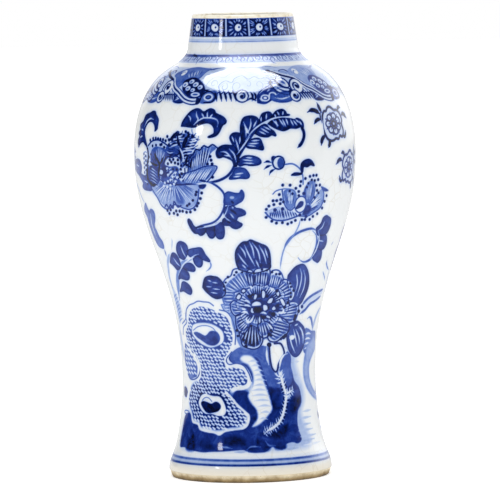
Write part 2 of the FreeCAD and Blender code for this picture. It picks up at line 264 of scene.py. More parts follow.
def coat(surface, thickness):
    """A closed profile: the surface from its lower end to its upper one, and back a coat deeper."""
    surface = np.asarray(surface, float)
    run = np.gradient(surface, axis=0)
    run /= np.maximum(np.hypot(run[:, 0], run[:, 1]), 1e-9)[:, None]
    deeper = surface + np.column_stack([-run[:, 1], run[:, 0]]) * thickness
    return [tuple(point) for point in np.vstack([surface, deeper[::-1]])]


def clamped_cubic(poles, steps=400):
    """Points of a clamped cubic spline with evenly spaced knots, as the clay's outline has."""
    poles = np.array(poles, float)
    knots = np.concatenate([[0] * 3, np.arange(len(poles) - 2), [len(poles) - 3] * 3]).astype(float)
    places = np.linspace(0, knots[-1], steps + 1)[:-1]
    share = [((places >= knots[i]) & (places < knots[i + 1])).astype(float) for i in range(len(knots) - 1)]
    for degree in (1, 2, 3):
        raised = []
        for i in range(len(share) - 1):
            total = np.zeros_like(places)
            if knots[i + degree] > knots[i]:
                total += (places - knots[i]) / (knots[i + degree] - knots[i]) * share[i]
            if knots[i + degree + 1] > knots[i + 1]:
                span = knots[i + degree + 1] - knots[i + 1]
                total += (knots[i + degree + 1] - places) / span * share[i + 1]
            raised.append(total)
        share = raised
    return np.vstack([np.array(share).T @ poles, poles[-1]])


def over_bead(radius, height):
    """The lining where it swells over a bead of slip."""
    turn = np.radians(np.linspace(-66, 66, 7))
    return np.column_stack([radius - np.cos(turn), height + np.sin(turn)])


LINING_STEPS = 160
LINING_COAT = 0.22
floor_skin = clamped_cubic([(0, 15.8), (23.4, 15.8), (32.7, 16.9), (30.85, 33.75), (30.85, 52.5)], 40)
wall_skin = clamped_cubic([(30.85, 54.5), (30.85, 111.0), (55.05, 129.16), (55.05, 175.5)], 60)
shoulder_skin = clamped_cubic([(55.05, 177.5), (55.05, 192.09), (47.78, 211.25), (35.59, 218.29),
    (23.5, 224.05), (23.5, 233.5)], 60)
bore = [(23.5, 240), (23.5, 246.9), (23.56, 247.2), (23.7, 247.4)]
for name, skin, end in (
        ("lining_floor", floor_skin, over_bead(31.15, 53.5)),
        ("lining_wall", wall_skin, over_bead(55.35, 176.5)),
        ("lining_shoulder", shoulder_skin, bore)):
    piece = turned(name, coat(np.vstack([skin, end]), -LINING_COAT), LINING_STEPS, plain_glaze)
    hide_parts("inner_glaze")

# The outer glaze is a clear coat over cobalt painting, on a skin of revolution that stops
# short of the foot and the lip. The painting is laid out first on a brush grid that runs
# round the vase by azimuth and up the wall by height, and each ring of glaze then takes it.
FLARE_POLES = [(44.1, 4.15), (44.1, 10.07), (39.3, 12.48), (36.1, 43.3), (36.1, 51.3)]
BODY_POLES = [(36.1, 52.7), (36.1, 111.0), (59.9, 129.16), (59.9, 174.3)]
SHOULDER_POLES = [(59.9, 175.7), (59.9, 192.09), (51.81, 213.97), (38.3, 222.32), (30.44, 227.38),
    (29.8, 232.0)]
NECK_POLES = [(29.6, 233.4), (28.8, 238.5), (28.1, 243.5), (27.5, 247.85)]
ROW_STEP = 0.36
COLUMNS = 960
FULL_TURN = 360
HALF_TURN = 180

parts = (FLARE_POLES, BODY_POLES, SHOULDER_POLES, NECK_POLES)
outline = np.vstack([clamped_cubic(poles) for poles in parts])
climb = np.concatenate([[0], np.cumsum(np.hypot(*np.diff(outline, axis=0).T))])
row_climb = np.arange(0, climb[-1], ROW_STEP)
row_radius = np.interp(row_climb, climb, outline[:, 0])
row_height = np.interp(row_climb, climb, outline[:, 1])
column_azimuth = np.arange(COLUMNS) * FULL_TURN / COLUMNS - HALF_TURN
wash = np.zeros((len(row_climb), COLUMNS), np.float32)
ink = np.zeros_like(wash)
EDGE = 0.42
POOL_WIDTH = 1.2
TIP_SHARE = 0.25


def smooth(points, closed=False, steps=6):
    """A curve through given points (Catmull-Rom)."""
    points = np.asarray(points, float)
    if closed:
        padded = np.vstack([points[-1], points, points[:2]])
    else:
        padded = np.vstack([2 * points[0] - points[1], points, 2 * points[-1] - points[-2]])
    t = np.linspace(0, 1, steps, endpoint=False)[:, None]
    curve = []
    for a, b, c, d in zip(padded, padded[1:], padded[2:], padded[3:]):
        curve.append(0.5 * (2 * b + (c - a) * t + (2 * a - 5 * b + 4 * c - d) * t**2
            + (3 * b - a - 3 * c + d) * t**3))
    curve = np.vstack(curve)
    return curve if closed else np.vstack([curve, points[-1]])


class Brush:
    """Paints shapes whose points are (azimuth, height), read at home and drawn at a place."""

    def __init__(self, home, place=None, size=1.0, mirror=False):
        self.home = home
        self.place = place or home
        self.size = size
        self.flip = -1 if mirror else 1

    def flat(self, points):
        """Millimetres on the wall, across from the brush's own azimuth and up the wall."""
        azimuth, height = np.asarray(points, float).T
        across = np.radians(azimuth - self.home[0]) * np.interp(height, outline[:, 1], outline[:, 0])
        up = np.interp(height, outline[:, 1], climb) - np.interp(self.home[1], outline[:, 1], climb)
        foot = np.interp(self.place[1], outline[:, 1], climb)
        return np.column_stack([across * self.flip, up]) * self.size + [0, foot]

    def window(self, route, margin):
        """The part of the grid that a shape can reach: its rows, columns, and places in mm."""
        low, high = route.min(0) - margin, route.max(0) + margin
        first, last = np.searchsorted(row_climb, (low[1], high[1]))
        rows = slice(first, max(last, first + 1))
        radius = row_radius[rows]
        if len(radius) == 0:
            return None
        reach = np.degrees(np.array([low[0], high[0]]) / radius.min()) + self.place[0]
        column = (reach + HALF_TURN) * COLUMNS / FULL_TURN
        columns = np.arange(math.floor(column[0]), math.ceil(column[1]) + 1)
        azimuth = columns * FULL_TURN / COLUMNS - HALF_TURN - self.place[0]
        x = np.radians(azimuth)[None, :] * radius[:, None]
        y = row_climb[rows][:, None] + np.zeros_like(x)
        return np.ix_(np.arange(rows.start, rows.stop), columns % COLUMNS), x, y

    def gap_to_line(self, x, y, route, half):
        """Distance to the edge of a stroke with these half widths, negative inside it."""
        gap = np.full(x.shape, np.inf)
        for i in range(len(route) - 1):
            (ax, ay), (bx, by) = route[i], route[i + 1]
            dx, dy = bx - ax, by - ay
            t = np.clip(((x - ax) * dx + (y - ay) * dy) / max(dx * dx + dy * dy, 1e-9), 0, 1)
            away = np.hypot(x - ax - t * dx, y - ay - t * dy)
            gap = np.minimum(gap, away - half[i] - t * (half[i + 1] - half[i]))
        return gap

    def gap_to_area(self, x, y, route):
        """Distance to a closed outline, negative inside it."""
        inside = np.zeros(x.shape, bool)
        ring = np.vstack([route, route[:1]])
        for (ax, ay), (bx, by) in zip(ring, ring[1:]):
            if ay != by:
                crosses = ((ay > y) != (by > y)) & (x < (bx - ax) * (y - ay) / (by - ay) + ax)
                inside ^= crosses
        away = self.gap_to_line(x, y, ring, np.zeros(len(ring)))
        return np.where(inside, -away, away)

    def lay(self, cells, cover, tone, layer):
        """A wash covers what is under it, ink only darkens it, and no layer leaves it white."""
        if layer is wash:
            wash[cells] = wash[cells] * (1 - cover) + cover * tone
        elif layer is ink:
            ink[cells] = np.maximum(ink[cells], cover * tone)
        else:
            wash[cells] *= 1 - cover
            ink[cells] *= 1 - cover

    def line(self, points, width, tone=0.9, taper=0.0, layer=ink, straight=False):
        """One stroke; taper is the share of its length over which each end thins."""
        route = self.flat(points)
        if not straight:
            route = smooth(route)
        run = np.concatenate([[0], np.cumsum(np.hypot(*np.diff(route, axis=0).T))])
        run = run / max(run[-1], 1e-9)
        half = np.full(len(route), width * self.size / 2)
        if taper:
            half = half * np.clip(np.minimum(run, 1 - run) / taper, TIP_SHARE, 1)
        found = self.window(route, width + EDGE)
        if found:
            cells, x, y = found
            gap = self.gap_to_line(x, y, route, half)
            self.lay(cells, np.clip(0.5 - gap / EDGE, 0, 1), tone, layer)

    def spare(self, points, width, taper=0.3):
        """A line left white in what is painted already."""
        self.line(points, width, taper=taper, layer=None)

    def area(self, points, tone, layer=wash, pooled=0.0, soft=EDGE, straight=False):
        """A filled shape; pooled makes its middle lighter than its rim, as a drying wash is."""
        route = self.flat(points)
        if not straight:
            route = smooth(route, closed=True, steps=4)
        found = self.window(route, 1 + soft)
        if found:
            cells, x, y = found
            gap = self.gap_to_area(x, y, route)
            if pooled:
                tone = tone * (1 - pooled * (1 - np.exp(np.minimum(gap, 0) / POOL_WIDTH)))
            self.lay(cells, np.clip(0.5 - gap / soft, 0, 1), tone, layer)

    def dot(self, point, width, tone=0.95):
        """A round dot of ink."""
        self.line([point, (point[0] + 0.01, point[1])], width, tone, straight=True)

    def leaf(self, points, tone, veins=(), vein=0.7, rim=0.9, pooled=0.12):
        """A leaf: a pooled wash inside a darker rim, with veins left white."""
        self.area(points, tone, pooled=pooled)
        self.line(list(points) + [points[0]], rim, min(tone + 0.08, 1))
        for each in veins:
            self.spare(each, vein)

    def streaks(self, start, end, count, width, tone=0.85, layer=ink):
        """Strokes laid side by side from one curve to another, each thin at its ends."""
        starts = smooth(start, steps=12)
        ends = smooth(end, steps=12)
        for i in range(count):
            share = (i + 0.5) / count
            a = starts[int(share * (len(starts) - 1))]
            b = ends[int(share * (len(ends) - 1))]
            self.line([a, (a + b) / 2, b], width, tone, taper=0.35, layer=layer)

    def petal(self, heart, bearing, near, far, width, tone, strokes, ink_tone):
        """A petal seen from the heart of a flower: dark at its root, white at its rim, and
        combed with fine strokes."""
        per_mm = self.per_mm(heart[1])
        along = np.array([math.sin(math.radians(bearing)) * per_mm, math.cos(math.radians(bearing))])
        aside = np.array([math.cos(math.radians(bearing)) * per_mm, -math.sin(math.radians(bearing))])

        def edge(reach, wide):
            form = [(0, 0.28), (0.45, 0.46), (0.8, 0.5), (0.97, 0.3), (1.02, 0), (0.97, -0.3), (0.8, -0.5),
                (0.45, -0.46), (0, -0.28)]
            return [np.array(heart) + along * (near + reach * a) + aside * wide * b for a, b in form]

        reach = far - near
        self.area(edge(reach, width), 0.1)
        self.line(edge(reach, width), 0.5, ink_tone * 0.82)
        self.area(edge(reach * 0.84, width * 0.8), tone, soft=1.0)
        self.area(edge(reach * 0.35, width * 0.8), min(tone + 0.3, 0.9), soft=1.6)
        for i in range(strokes):
            side = (i + 0.5) / strokes - 0.5
            start = np.array(heart) + along * near + aside * width * side * 0.5
            length = near + reach * (0.9 - 0.5 * side * side)
            stop = np.array(heart) + along * length + aside * width * side * 0.86
            self.line([start, (start + stop) / 2, stop], 0.85, ink_tone, taper=0.4)
            self.spare([(start * 0.6 + stop * 0.4) + aside * 0.7, stop * 1.04 - start * 0.04 + aside * 0.7],
                0.6, 0.4)

    def per_mm(self, height):
        """Degrees of azimuth to a millimetre round the wall at a height."""
        return math.degrees(1 / float(np.interp(height, outline[:, 1], outline[:, 0])))

    def ring(self, centre, across, up, width, tone=0.9, layer=ink, lean=0.0):
        """An oval line, its half width and half height in mm."""
        self.line(self.oval(centre, across, up, lean), width, tone, layer=layer)

    def disc(self, centre, across, up, tone, layer=wash, lean=0.0):
        """A filled oval."""
        self.area(self.oval(centre, across, up, lean)[:-1], tone, layer)

    def blank(self, centre, across, up):
        """An oval left white in what is painted already."""
        self.disc(centre, across, up, 0.0, layer=None)

    def oval(self, centre, across, up, lean):
        """Points round a leaning oval, back to the first one."""
        per_mm = self.per_mm(centre[1])
        turn = np.radians(np.arange(0, 361, 45))
        x = across * np.cos(turn)
        y = up * np.sin(turn)
        tilt = math.radians(lean)
        return list(zip(centre[0] + (x * math.cos(tilt) - y * math.sin(tilt)) * per_mm,
            centre[1] + x * math.sin(tilt) + y * math.cos(tilt)))

    def curl(self, centre, reach, start, turns, width, tone=0.9):
        """A spiral from its outer end, at a bearing from straight up, in to its eye."""
        per_mm = self.per_mm(centre[1])
        points = []
        steps = int(abs(turns) * 8) + 2
        for i in range(steps):
            share = i / (steps - 1)
            angle = math.radians(start + 360 * turns * share)
            radius = reach * (1 - 0.85 * share)
            points.append((centre[0] + radius * math.sin(angle) * per_mm,
                centre[1] + radius * math.cos(angle)))
        self.line(points, width, tone, taper=0.15)


def hoop(low, high, tone, waver=0.12):
    """A line painted right round the vase as it turns on the wheel."""
    bottom, top = np.interp((low, high), outline[:, 1], climb)
    cover = np.clip(0.5 + np.minimum(row_climb - bottom, top - row_climb) / EDGE, 0, 1)[:, None]
    turn = np.radians(column_azimuth)[None, :]
    drift = tone * (1 + waver * (0.6 * np.sin(3 * turn + 1) + 0.4 * np.sin(11 * turn)))
    wash[:] = wash * (1 - cover) + cover * drift


# Two lines are drawn round the foot on the wheel, with a pale band between them, and two
# more round the root of the neck and under the collar of panels at the mouth.
for low, high, tone in ((8.9, 10.2, 0.74), (10.2, 11.4, 0.26), (11.4, 12.8, 0.58), (12.8, 14.2, 0.06),
        (224.5, 227.4, 0.27), (227.5, 228.9, 0.74), (235.4, 236.0, 0.45), (236.0, 237.2, 0.22)):
    hoop(low, high, tone)


# The ground is a loaded brush of dark wash below the rock, with a white path and a thorny
# branch left bare in it, and faint strokes of mist beside it.
def ground(brush):
    """The bank of dark earth, its darker pools and the path and thorns left white."""
    brush.area([(-70, 18), (-45, 16), (-12, 16.8), (14, 16.4), (34, 16.6), (50, 17), (57, 20), (52, 28),
        (49, 36), (54, 42), (54, 48), (48, 56), (44, 62), (44, 70), (30, 72), (-10, 72), (-20, 60),
        (-70, 32)], 0.26, soft=4)
    brush.area([(-71, 18), (-62, 17.4), (-53, 16.6), (-45, 16), (-38, 15.8), (-30, 16.3), (-20, 16.7),
        (-12, 17.2), (-5, 17.4), (-1, 16.2), (6, 16), (12, 16.4), (15, 17.8), (17.5, 18.7), (20, 18),
        (24, 17), (28, 17.2), (29, 19.6), (35, 20.5), (40, 19.6), (44, 20.6), (45, 22.5), (43.5, 26),
        (42.8, 30), (43.5, 34), (45.5, 38), (49.3, 41), (49.6, 45.5), (47.5, 49.5), (42.5, 53), (40.5, 57),
        (38.5, 61), (38.3, 66), (35, 69), (29, 70), (20, 71), (12, 73), (2, 73), (-9, 72), (-17, 67),
        (-13, 63.6), (-4, 62.5), (1, 58.5), (3, 53), (1, 48), (-5, 49), (-12, 48.5), (-14, 45), (-8, 41),
        (-2, 37.5), (0.5, 34), (-3, 29.5), (-12, 28), (-22, 26.8), (-30, 26.2), (-40, 27), (-48, 30.5),
        (-56, 34), (-61, 36), (-68, 34.5), (-71, 30)], 0.78)
    brush.area([(18, 72), (12, 73), (2, 73), (-9, 72), (-16, 67), (-12, 63.6), (-4, 64), (3, 67), (8, 66),
        (12, 60), (16, 52), (22, 50), (28, 50), (38, 51), (40.5, 57), (38.5, 61), (38.3, 66), (35, 69)],
        0.6)
    pools = (
        ([(-59, 16.8), (-49, 16.4), (-49, 22), (-52, 25), (-57, 22)], 0.95),
        ([(-21, 20.5), (-14, 20), (-5, 20), (-4, 23), (-10, 25), (-20, 24.4)], 0.96),
        ([(1, 16.8), (14, 17), (15, 21), (9, 23), (2, 22)], 0.9),
        ([(9, 25), (17, 24), (24, 22.5), (30, 25), (33, 30), (27, 30), (22, 27), (14, 29)], 0.97),
        ([(-14, 44), (-10, 49), (-2, 49), (1, 44), (5, 41), (7, 36), (3, 31), (-2, 30), (1, 35)], 0.86),
        ([(17, 50), (26, 49), (29, 44), (27, 38), (22, 34), (17, 37), (18, 43)], 0.88),
        ([(36, 42), (43, 45), (49, 44), (48, 40), (43, 37), (37, 34)], 0.9),
        ([(20, 17.6), (28, 17.6), (28, 20), (21, 21)], 0.92),
        ([(-44, 18), (-30, 17.5), (-28, 20), (-40, 21.5)], 0.87))
    for pool, tone in pools:
        brush.area(pool, tone, soft=2.2)
    brush.line([(-25, 18.6), (-19, 18.9), (-14, 18.2)], 1.0, 0.45, 0.4, layer=wash)
    brush.line([(-3, 17.5), (1, 19.2), (8, 19)], 0.9, 0.5, 0.4, layer=wash)
    brush.line([(12, 22), (15, 19.5), (20, 19.2)], 1.1, 0.55, 0.4, layer=wash)
    brush.area([(-7, 66.2), (-4, 68), (2, 67.6), (6, 65), (9, 60), (13, 53), (16.5, 47), (18.5, 42),
        (19, 38.5), (14, 34.5), (8, 31), (2, 29.8), (6.5, 34), (6, 38.5), (2, 42), (-1, 46), (1, 49),
        (3.5, 53), (3.3, 58), (0, 62.5), (-4, 64.2)], 0.02, soft=1.3)
    for height, left, right in ((64.6, 0, 8), (62.2, 2, 10), (59.6, 4, 12), (57, 4, 13), (54.4, 4, 15),
            (51.6, 4, 15), (49, 2, 16), (46.2, 2, 17), (43.4, 4, 18), (40.4, 7, 19), (37, 9, 18),
            (33.6, 8, 15)):
        brush.line([(left, height), ((left + right) / 2, height + 0.5), (right, height - 0.2)], 1.2, 0.19,
            0.4, layer=wash)
    thorn = [(11.5, 25.6), (15, 27.6), (19, 28.8), (24, 31), (28, 34.5), (30.5, 38.5), (32.5, 43), (33, 46),
        (31, 50), (29, 54), (26.5, 57.5)]
    brush.line(thorn, 4.2, 0.97, 0.2)
    brush.spare(thorn, 1.45, 0.12)
    brush.line([(33, 45.8), (37, 47.4), (42, 49)], 3.4, 0.95, 0.4)
    brush.spare([(33, 45.8), (36, 47), (41, 48.6)], 1.5, 0.5)
    for foot, tip in (((36, 46.6), (38, 44.6)), ((36.5, 47.3), (37.5, 49.8)), ((39, 48), (41.6, 46.8)),
            ((33.5, 46), (35.5, 43.6)), ((34, 46.5), (34.5, 49.4)), ((39.5, 48.2), (40, 50.4)),
            ((34.8, 46.4), (37, 43.4)), ((38, 47.6), (40.4, 45.2)), ((27, 55.6), (22.6, 57.6)),
            ((27, 55.6), (29.8, 59.4)), ((27.4, 54.6), (22.8, 55)), ((28, 53.6), (32.2, 55)),
            ((28, 54.6), (31.4, 57.2)), ((28.4, 52.6), (24.6, 52.4)), ((26.8, 56), (26.4, 60))):
        brush.spare([foot, tip], 0.8, 0.4)
    brush.spare([(24.5, 57), (22, 60)], 1.3, 0.5)
    route = smooth(thorn, steps=5)
    for i, (point, ahead) in enumerate(zip(route, route[1:])):
        run = (ahead - point) / max(np.hypot(*(ahead - point)), 0.01)
        side = np.array([run[1], -run[0]]) * (1 if i % 2 else -1)
        brush.spare([point, point + side * (1.9 + 0.7 * (i % 3)) + run * 0.9], 0.6, 0.5)
    brush.area([(17.5, 68), (18.5, 64), (20, 61), (23, 58.6), (25, 59.5), (26, 62.5), (29, 66), (33, 68.5),
        (34, 70), (31, 71.5), (28, 73.5), (24, 74.2), (20, 73.2), (18, 71)], 0.0)
    brush.line([(17.5, 72), (18.3, 66), (20, 61), (23, 58.6), (25, 59.5), (26, 62.5), (29, 66),
        (31.5, 68.6), (28, 73.5), (22, 74)], 1.1, 0.92)
    brush.spare([(15.3, 72), (15.6, 67), (17.2, 62.5)], 1.1)
    brush.spare([(27, 60), (28, 64.5), (31, 67.3), (34.5, 68)], 1.2)
    for height, left, right, tone in ((18.3, 46, 72, 0.1), (20.6, 44, 62, 0.3), (22.8, 44, 66, 0.24),
            (26, 43, 62, 0.24), (29, 43, 60, 0.24), (32.5, 44, 62, 0.22), (36, 50, 63, 0.18),
            (54, 44, 49, 0.2), (63, 42, 48, 0.16), (17, 26, 40, 0.28), (16.4, -12, -2, 0.3)):
        brush.line([(left, height), (right, height + 0.3)], 1.4, tone, 0.4, layer=wash)


# The pierced garden rock stands on it: a white edge, rows of small scales left white in the
# wash, and two hollows like eyes.
ROCK = [(-58, 88), (-55, 92), (-50, 94.5), (-45, 95.5), (-40, 97), (-35, 96.8), (-30, 96.5), (-24, 93),
    (-18, 92), (-14, 90), (-12, 86), (-10, 80), (-11, 74), (-14, 70), (-19, 66), (-17, 63), (-10, 63.5),
    (-4, 62), (0, 58), (2, 54), (0, 51), (-5, 49.5), (-12, 49), (-16, 46), (-10, 42), (-4, 38), (0, 36),
    (-1, 31), (-5, 28.5), (-12, 28), (-20, 27), (-25, 25), (-30, 26), (-38, 26.5), (-45, 27.5), (-48, 30),
    (-55, 31), (-58, 35), (-62, 38), (-67, 40), (-68, 44), (-63, 50), (-61, 53), (-55, 55), (-50, 56),
    (-48, 60), (-50, 63), (-55, 67), (-60, 69), (-65, 72), (-68, 78), (-65, 82), (-58, 85)]
ROCK_INNER = [(-55, 86), (-52.5, 89.5), (-49, 92), (-44, 93.5), (-38, 94.3), (-30, 93.5), (-24, 91.5),
    (-18, 89.5), (-15, 86), (-13, 80), (-13.5, 75), (-17, 70), (-21, 66), (-19.5, 61.5), (-13, 61.5),
    (-6, 60.5), (-2, 57), (-2, 53), (-7, 51.5), (-14, 50.8), (-17.5, 47), (-13, 43.5), (-8, 39.5),
    (-3.5, 36), (-4, 32), (-9, 30), (-16, 29.5), (-22, 28.5), (-28, 28), (-36, 29), (-43, 29.5), (-46, 32),
    (-53, 33), (-56, 37), (-60, 40), (-63, 43), (-60, 48), (-57, 51), (-50, 53), (-45.5, 56), (-45, 61),
    (-47, 65), (-52, 69), (-58, 71.5), (-62, 75), (-62, 79.5), (-57, 83)]
UPPER_EYE = [(-53, 80), (-50, 84), (-40, 85.5), (-30, 85), (-22, 82), (-20, 78), (-22, 74.5), (-30, 72.3),
    (-36, 72.3), (-45, 74.5), (-51, 77.5)]
LOWER_EYE = [(-48, 43), (-45, 46), (-40, 47), (-33, 46), (-26, 45.7), (-22, 42.5), (-20, 38.5), (-22, 35.8),
    (-28, 35.5), (-33, 36.3), (-40, 36.3), (-45, 38.3), (-48, 41)]


def rock(brush):
    """The rock, from the lobe behind it and its white edge in to the scales and the hollows."""
    lobe = [(-66, 73), (-60, 71), (-54, 68.5), (-49, 64), (-47, 59), (-50, 55.5), (-57, 54), (-63, 55),
        (-68, 60), (-70, 67)]
    brush.area(lobe, 0.55)
    brush.line(lobe + lobe[:1], 0.7, 0.8)
    for height in (57.5, 60, 62.5, 65, 67.5, 70):
        for turn in range(4):
            azimuth = -67 + turn * 4.4 + height % 5 * 0.4
            brush.spare([(azimuth - 1.1, height + 0.5), (azimuth + 1.1, height - 0.3)], 0.95, 0)
    brush.area([(-76, 48), (-74, 49.5), (-69, 49), (-66, 46.5), (-68, 44), (-74, 44.5)], 0.85)
    brush.area(ROCK, 0.0)
    brush.line([(-66, 84), (-58.5, 87), (-55, 92), (-50, 94.7), (-45, 95.8), (-40, 97.2), (-35, 97),
        (-30, 96.7), (-26.5, 95)], 0.7, 0.6)
    brush.line([(-22, 92.8), (-16, 91.5), (-12, 87), (-10.3, 80), (-11, 74)], 0.6, 0.75)
    brush.line(ROCK[-3:] + ROCK[:3], 0.6, 0.7)
    brush.line([(-14, 70), (-19, 66), (-17, 63.2), (-10, 63.8), (-4, 62.3), (0, 58.3), (2.3, 54)], 0.6, 0.8)
    brush.area(ROCK_INNER, 0.72)
    low_edge = ROCK_INNER[21:33]
    brush.area([(-57, 37), (-62, 42), (-60, 48), (-57, 51), (-48, 53), (-30, 52), (-17, 49)] + low_edge,
        0.9, soft=3)
    row, step = np.mgrid[0:37, 0:20].astype(float)
    azimuth = -66 + step * 3.4 + row % 2 * 1.7 + 0.5 * np.sin(row * 2.3 + step)
    height = 27 + row * 1.9
    lift = 0.25 * np.sin(row + step * 1.7)
    x, y = brush.flat(np.column_stack([azimuth.ravel(), height.ravel()])).T
    shown = brush.gap_to_area(x, y, smooth(brush.flat(ROCK_INNER), closed=True, steps=4)) < 0.4
    for eye in (UPPER_EYE, LOWER_EYE):
        shown &= brush.gap_to_area(x, y, smooth(brush.flat(eye), closed=True, steps=4)) > 0.9
    for a, h, up in zip(azimuth.ravel()[shown], height.ravel()[shown], lift.ravel()[shown]):
        brush.spare([(a - 0.85, h + 0.35 + up), (a + 0.85, h - 0.3 + up)], 0.98, 0)
    for eye in (UPPER_EYE, LOWER_EYE):
        brush.area(eye, 0.0)
    brush.line(UPPER_EYE + UPPER_EYE[:1], 0.5, 0.55)
    brush.area([(-50.5, 79.5), (-47, 80.3), (-43, 79.8), (-38.5, 78.6), (-36, 79), (-33, 80.8), (-30, 81.3),
        (-26.5, 81), (-24, 79), (-23.8, 76.4), (-27, 73.9), (-32, 73.2), (-37, 74), (-42, 75.7),
        (-47, 77.3)], 0.68, pooled=-0.1)
    brush.area([(-33, 77.5), (-28, 77.5), (-25, 76), (-28, 74), (-33, 73.6), (-37, 74.4)], 0.8, soft=2)
    brush.line([(-50.5, 81), (-44, 83.2), (-36, 84), (-30, 83), (-27, 81)], 0.55, 0.55)
    brush.area([(-45.5, 41.5), (-43, 43), (-38, 42.5), (-34, 41.8), (-30, 43), (-26.5, 42.3), (-24.6, 40.3),
        (-27, 38), (-32, 37), (-37, 36.6), (-41, 38)], 0.97)
    brush.line([(-44, 43.3), (-41, 44.8), (-37, 44.8), (-33.5, 43)], 0.55, 0.6)
    brush.spare([(-57, 69), (-51, 65), (-48, 60.5), (-50.5, 56)], 1.7, 0.2)
    brush.spare([(-24, 46.5), (-20, 47.5), (-16.5, 46), (-10.5, 41.5), (-4.5, 38), (-1, 35.5),
        (-1.5, 31.5)], 1.2, 0.1)
    brush.ring((-66, 36), 3.2, 0.9, 0.7, 0.6)


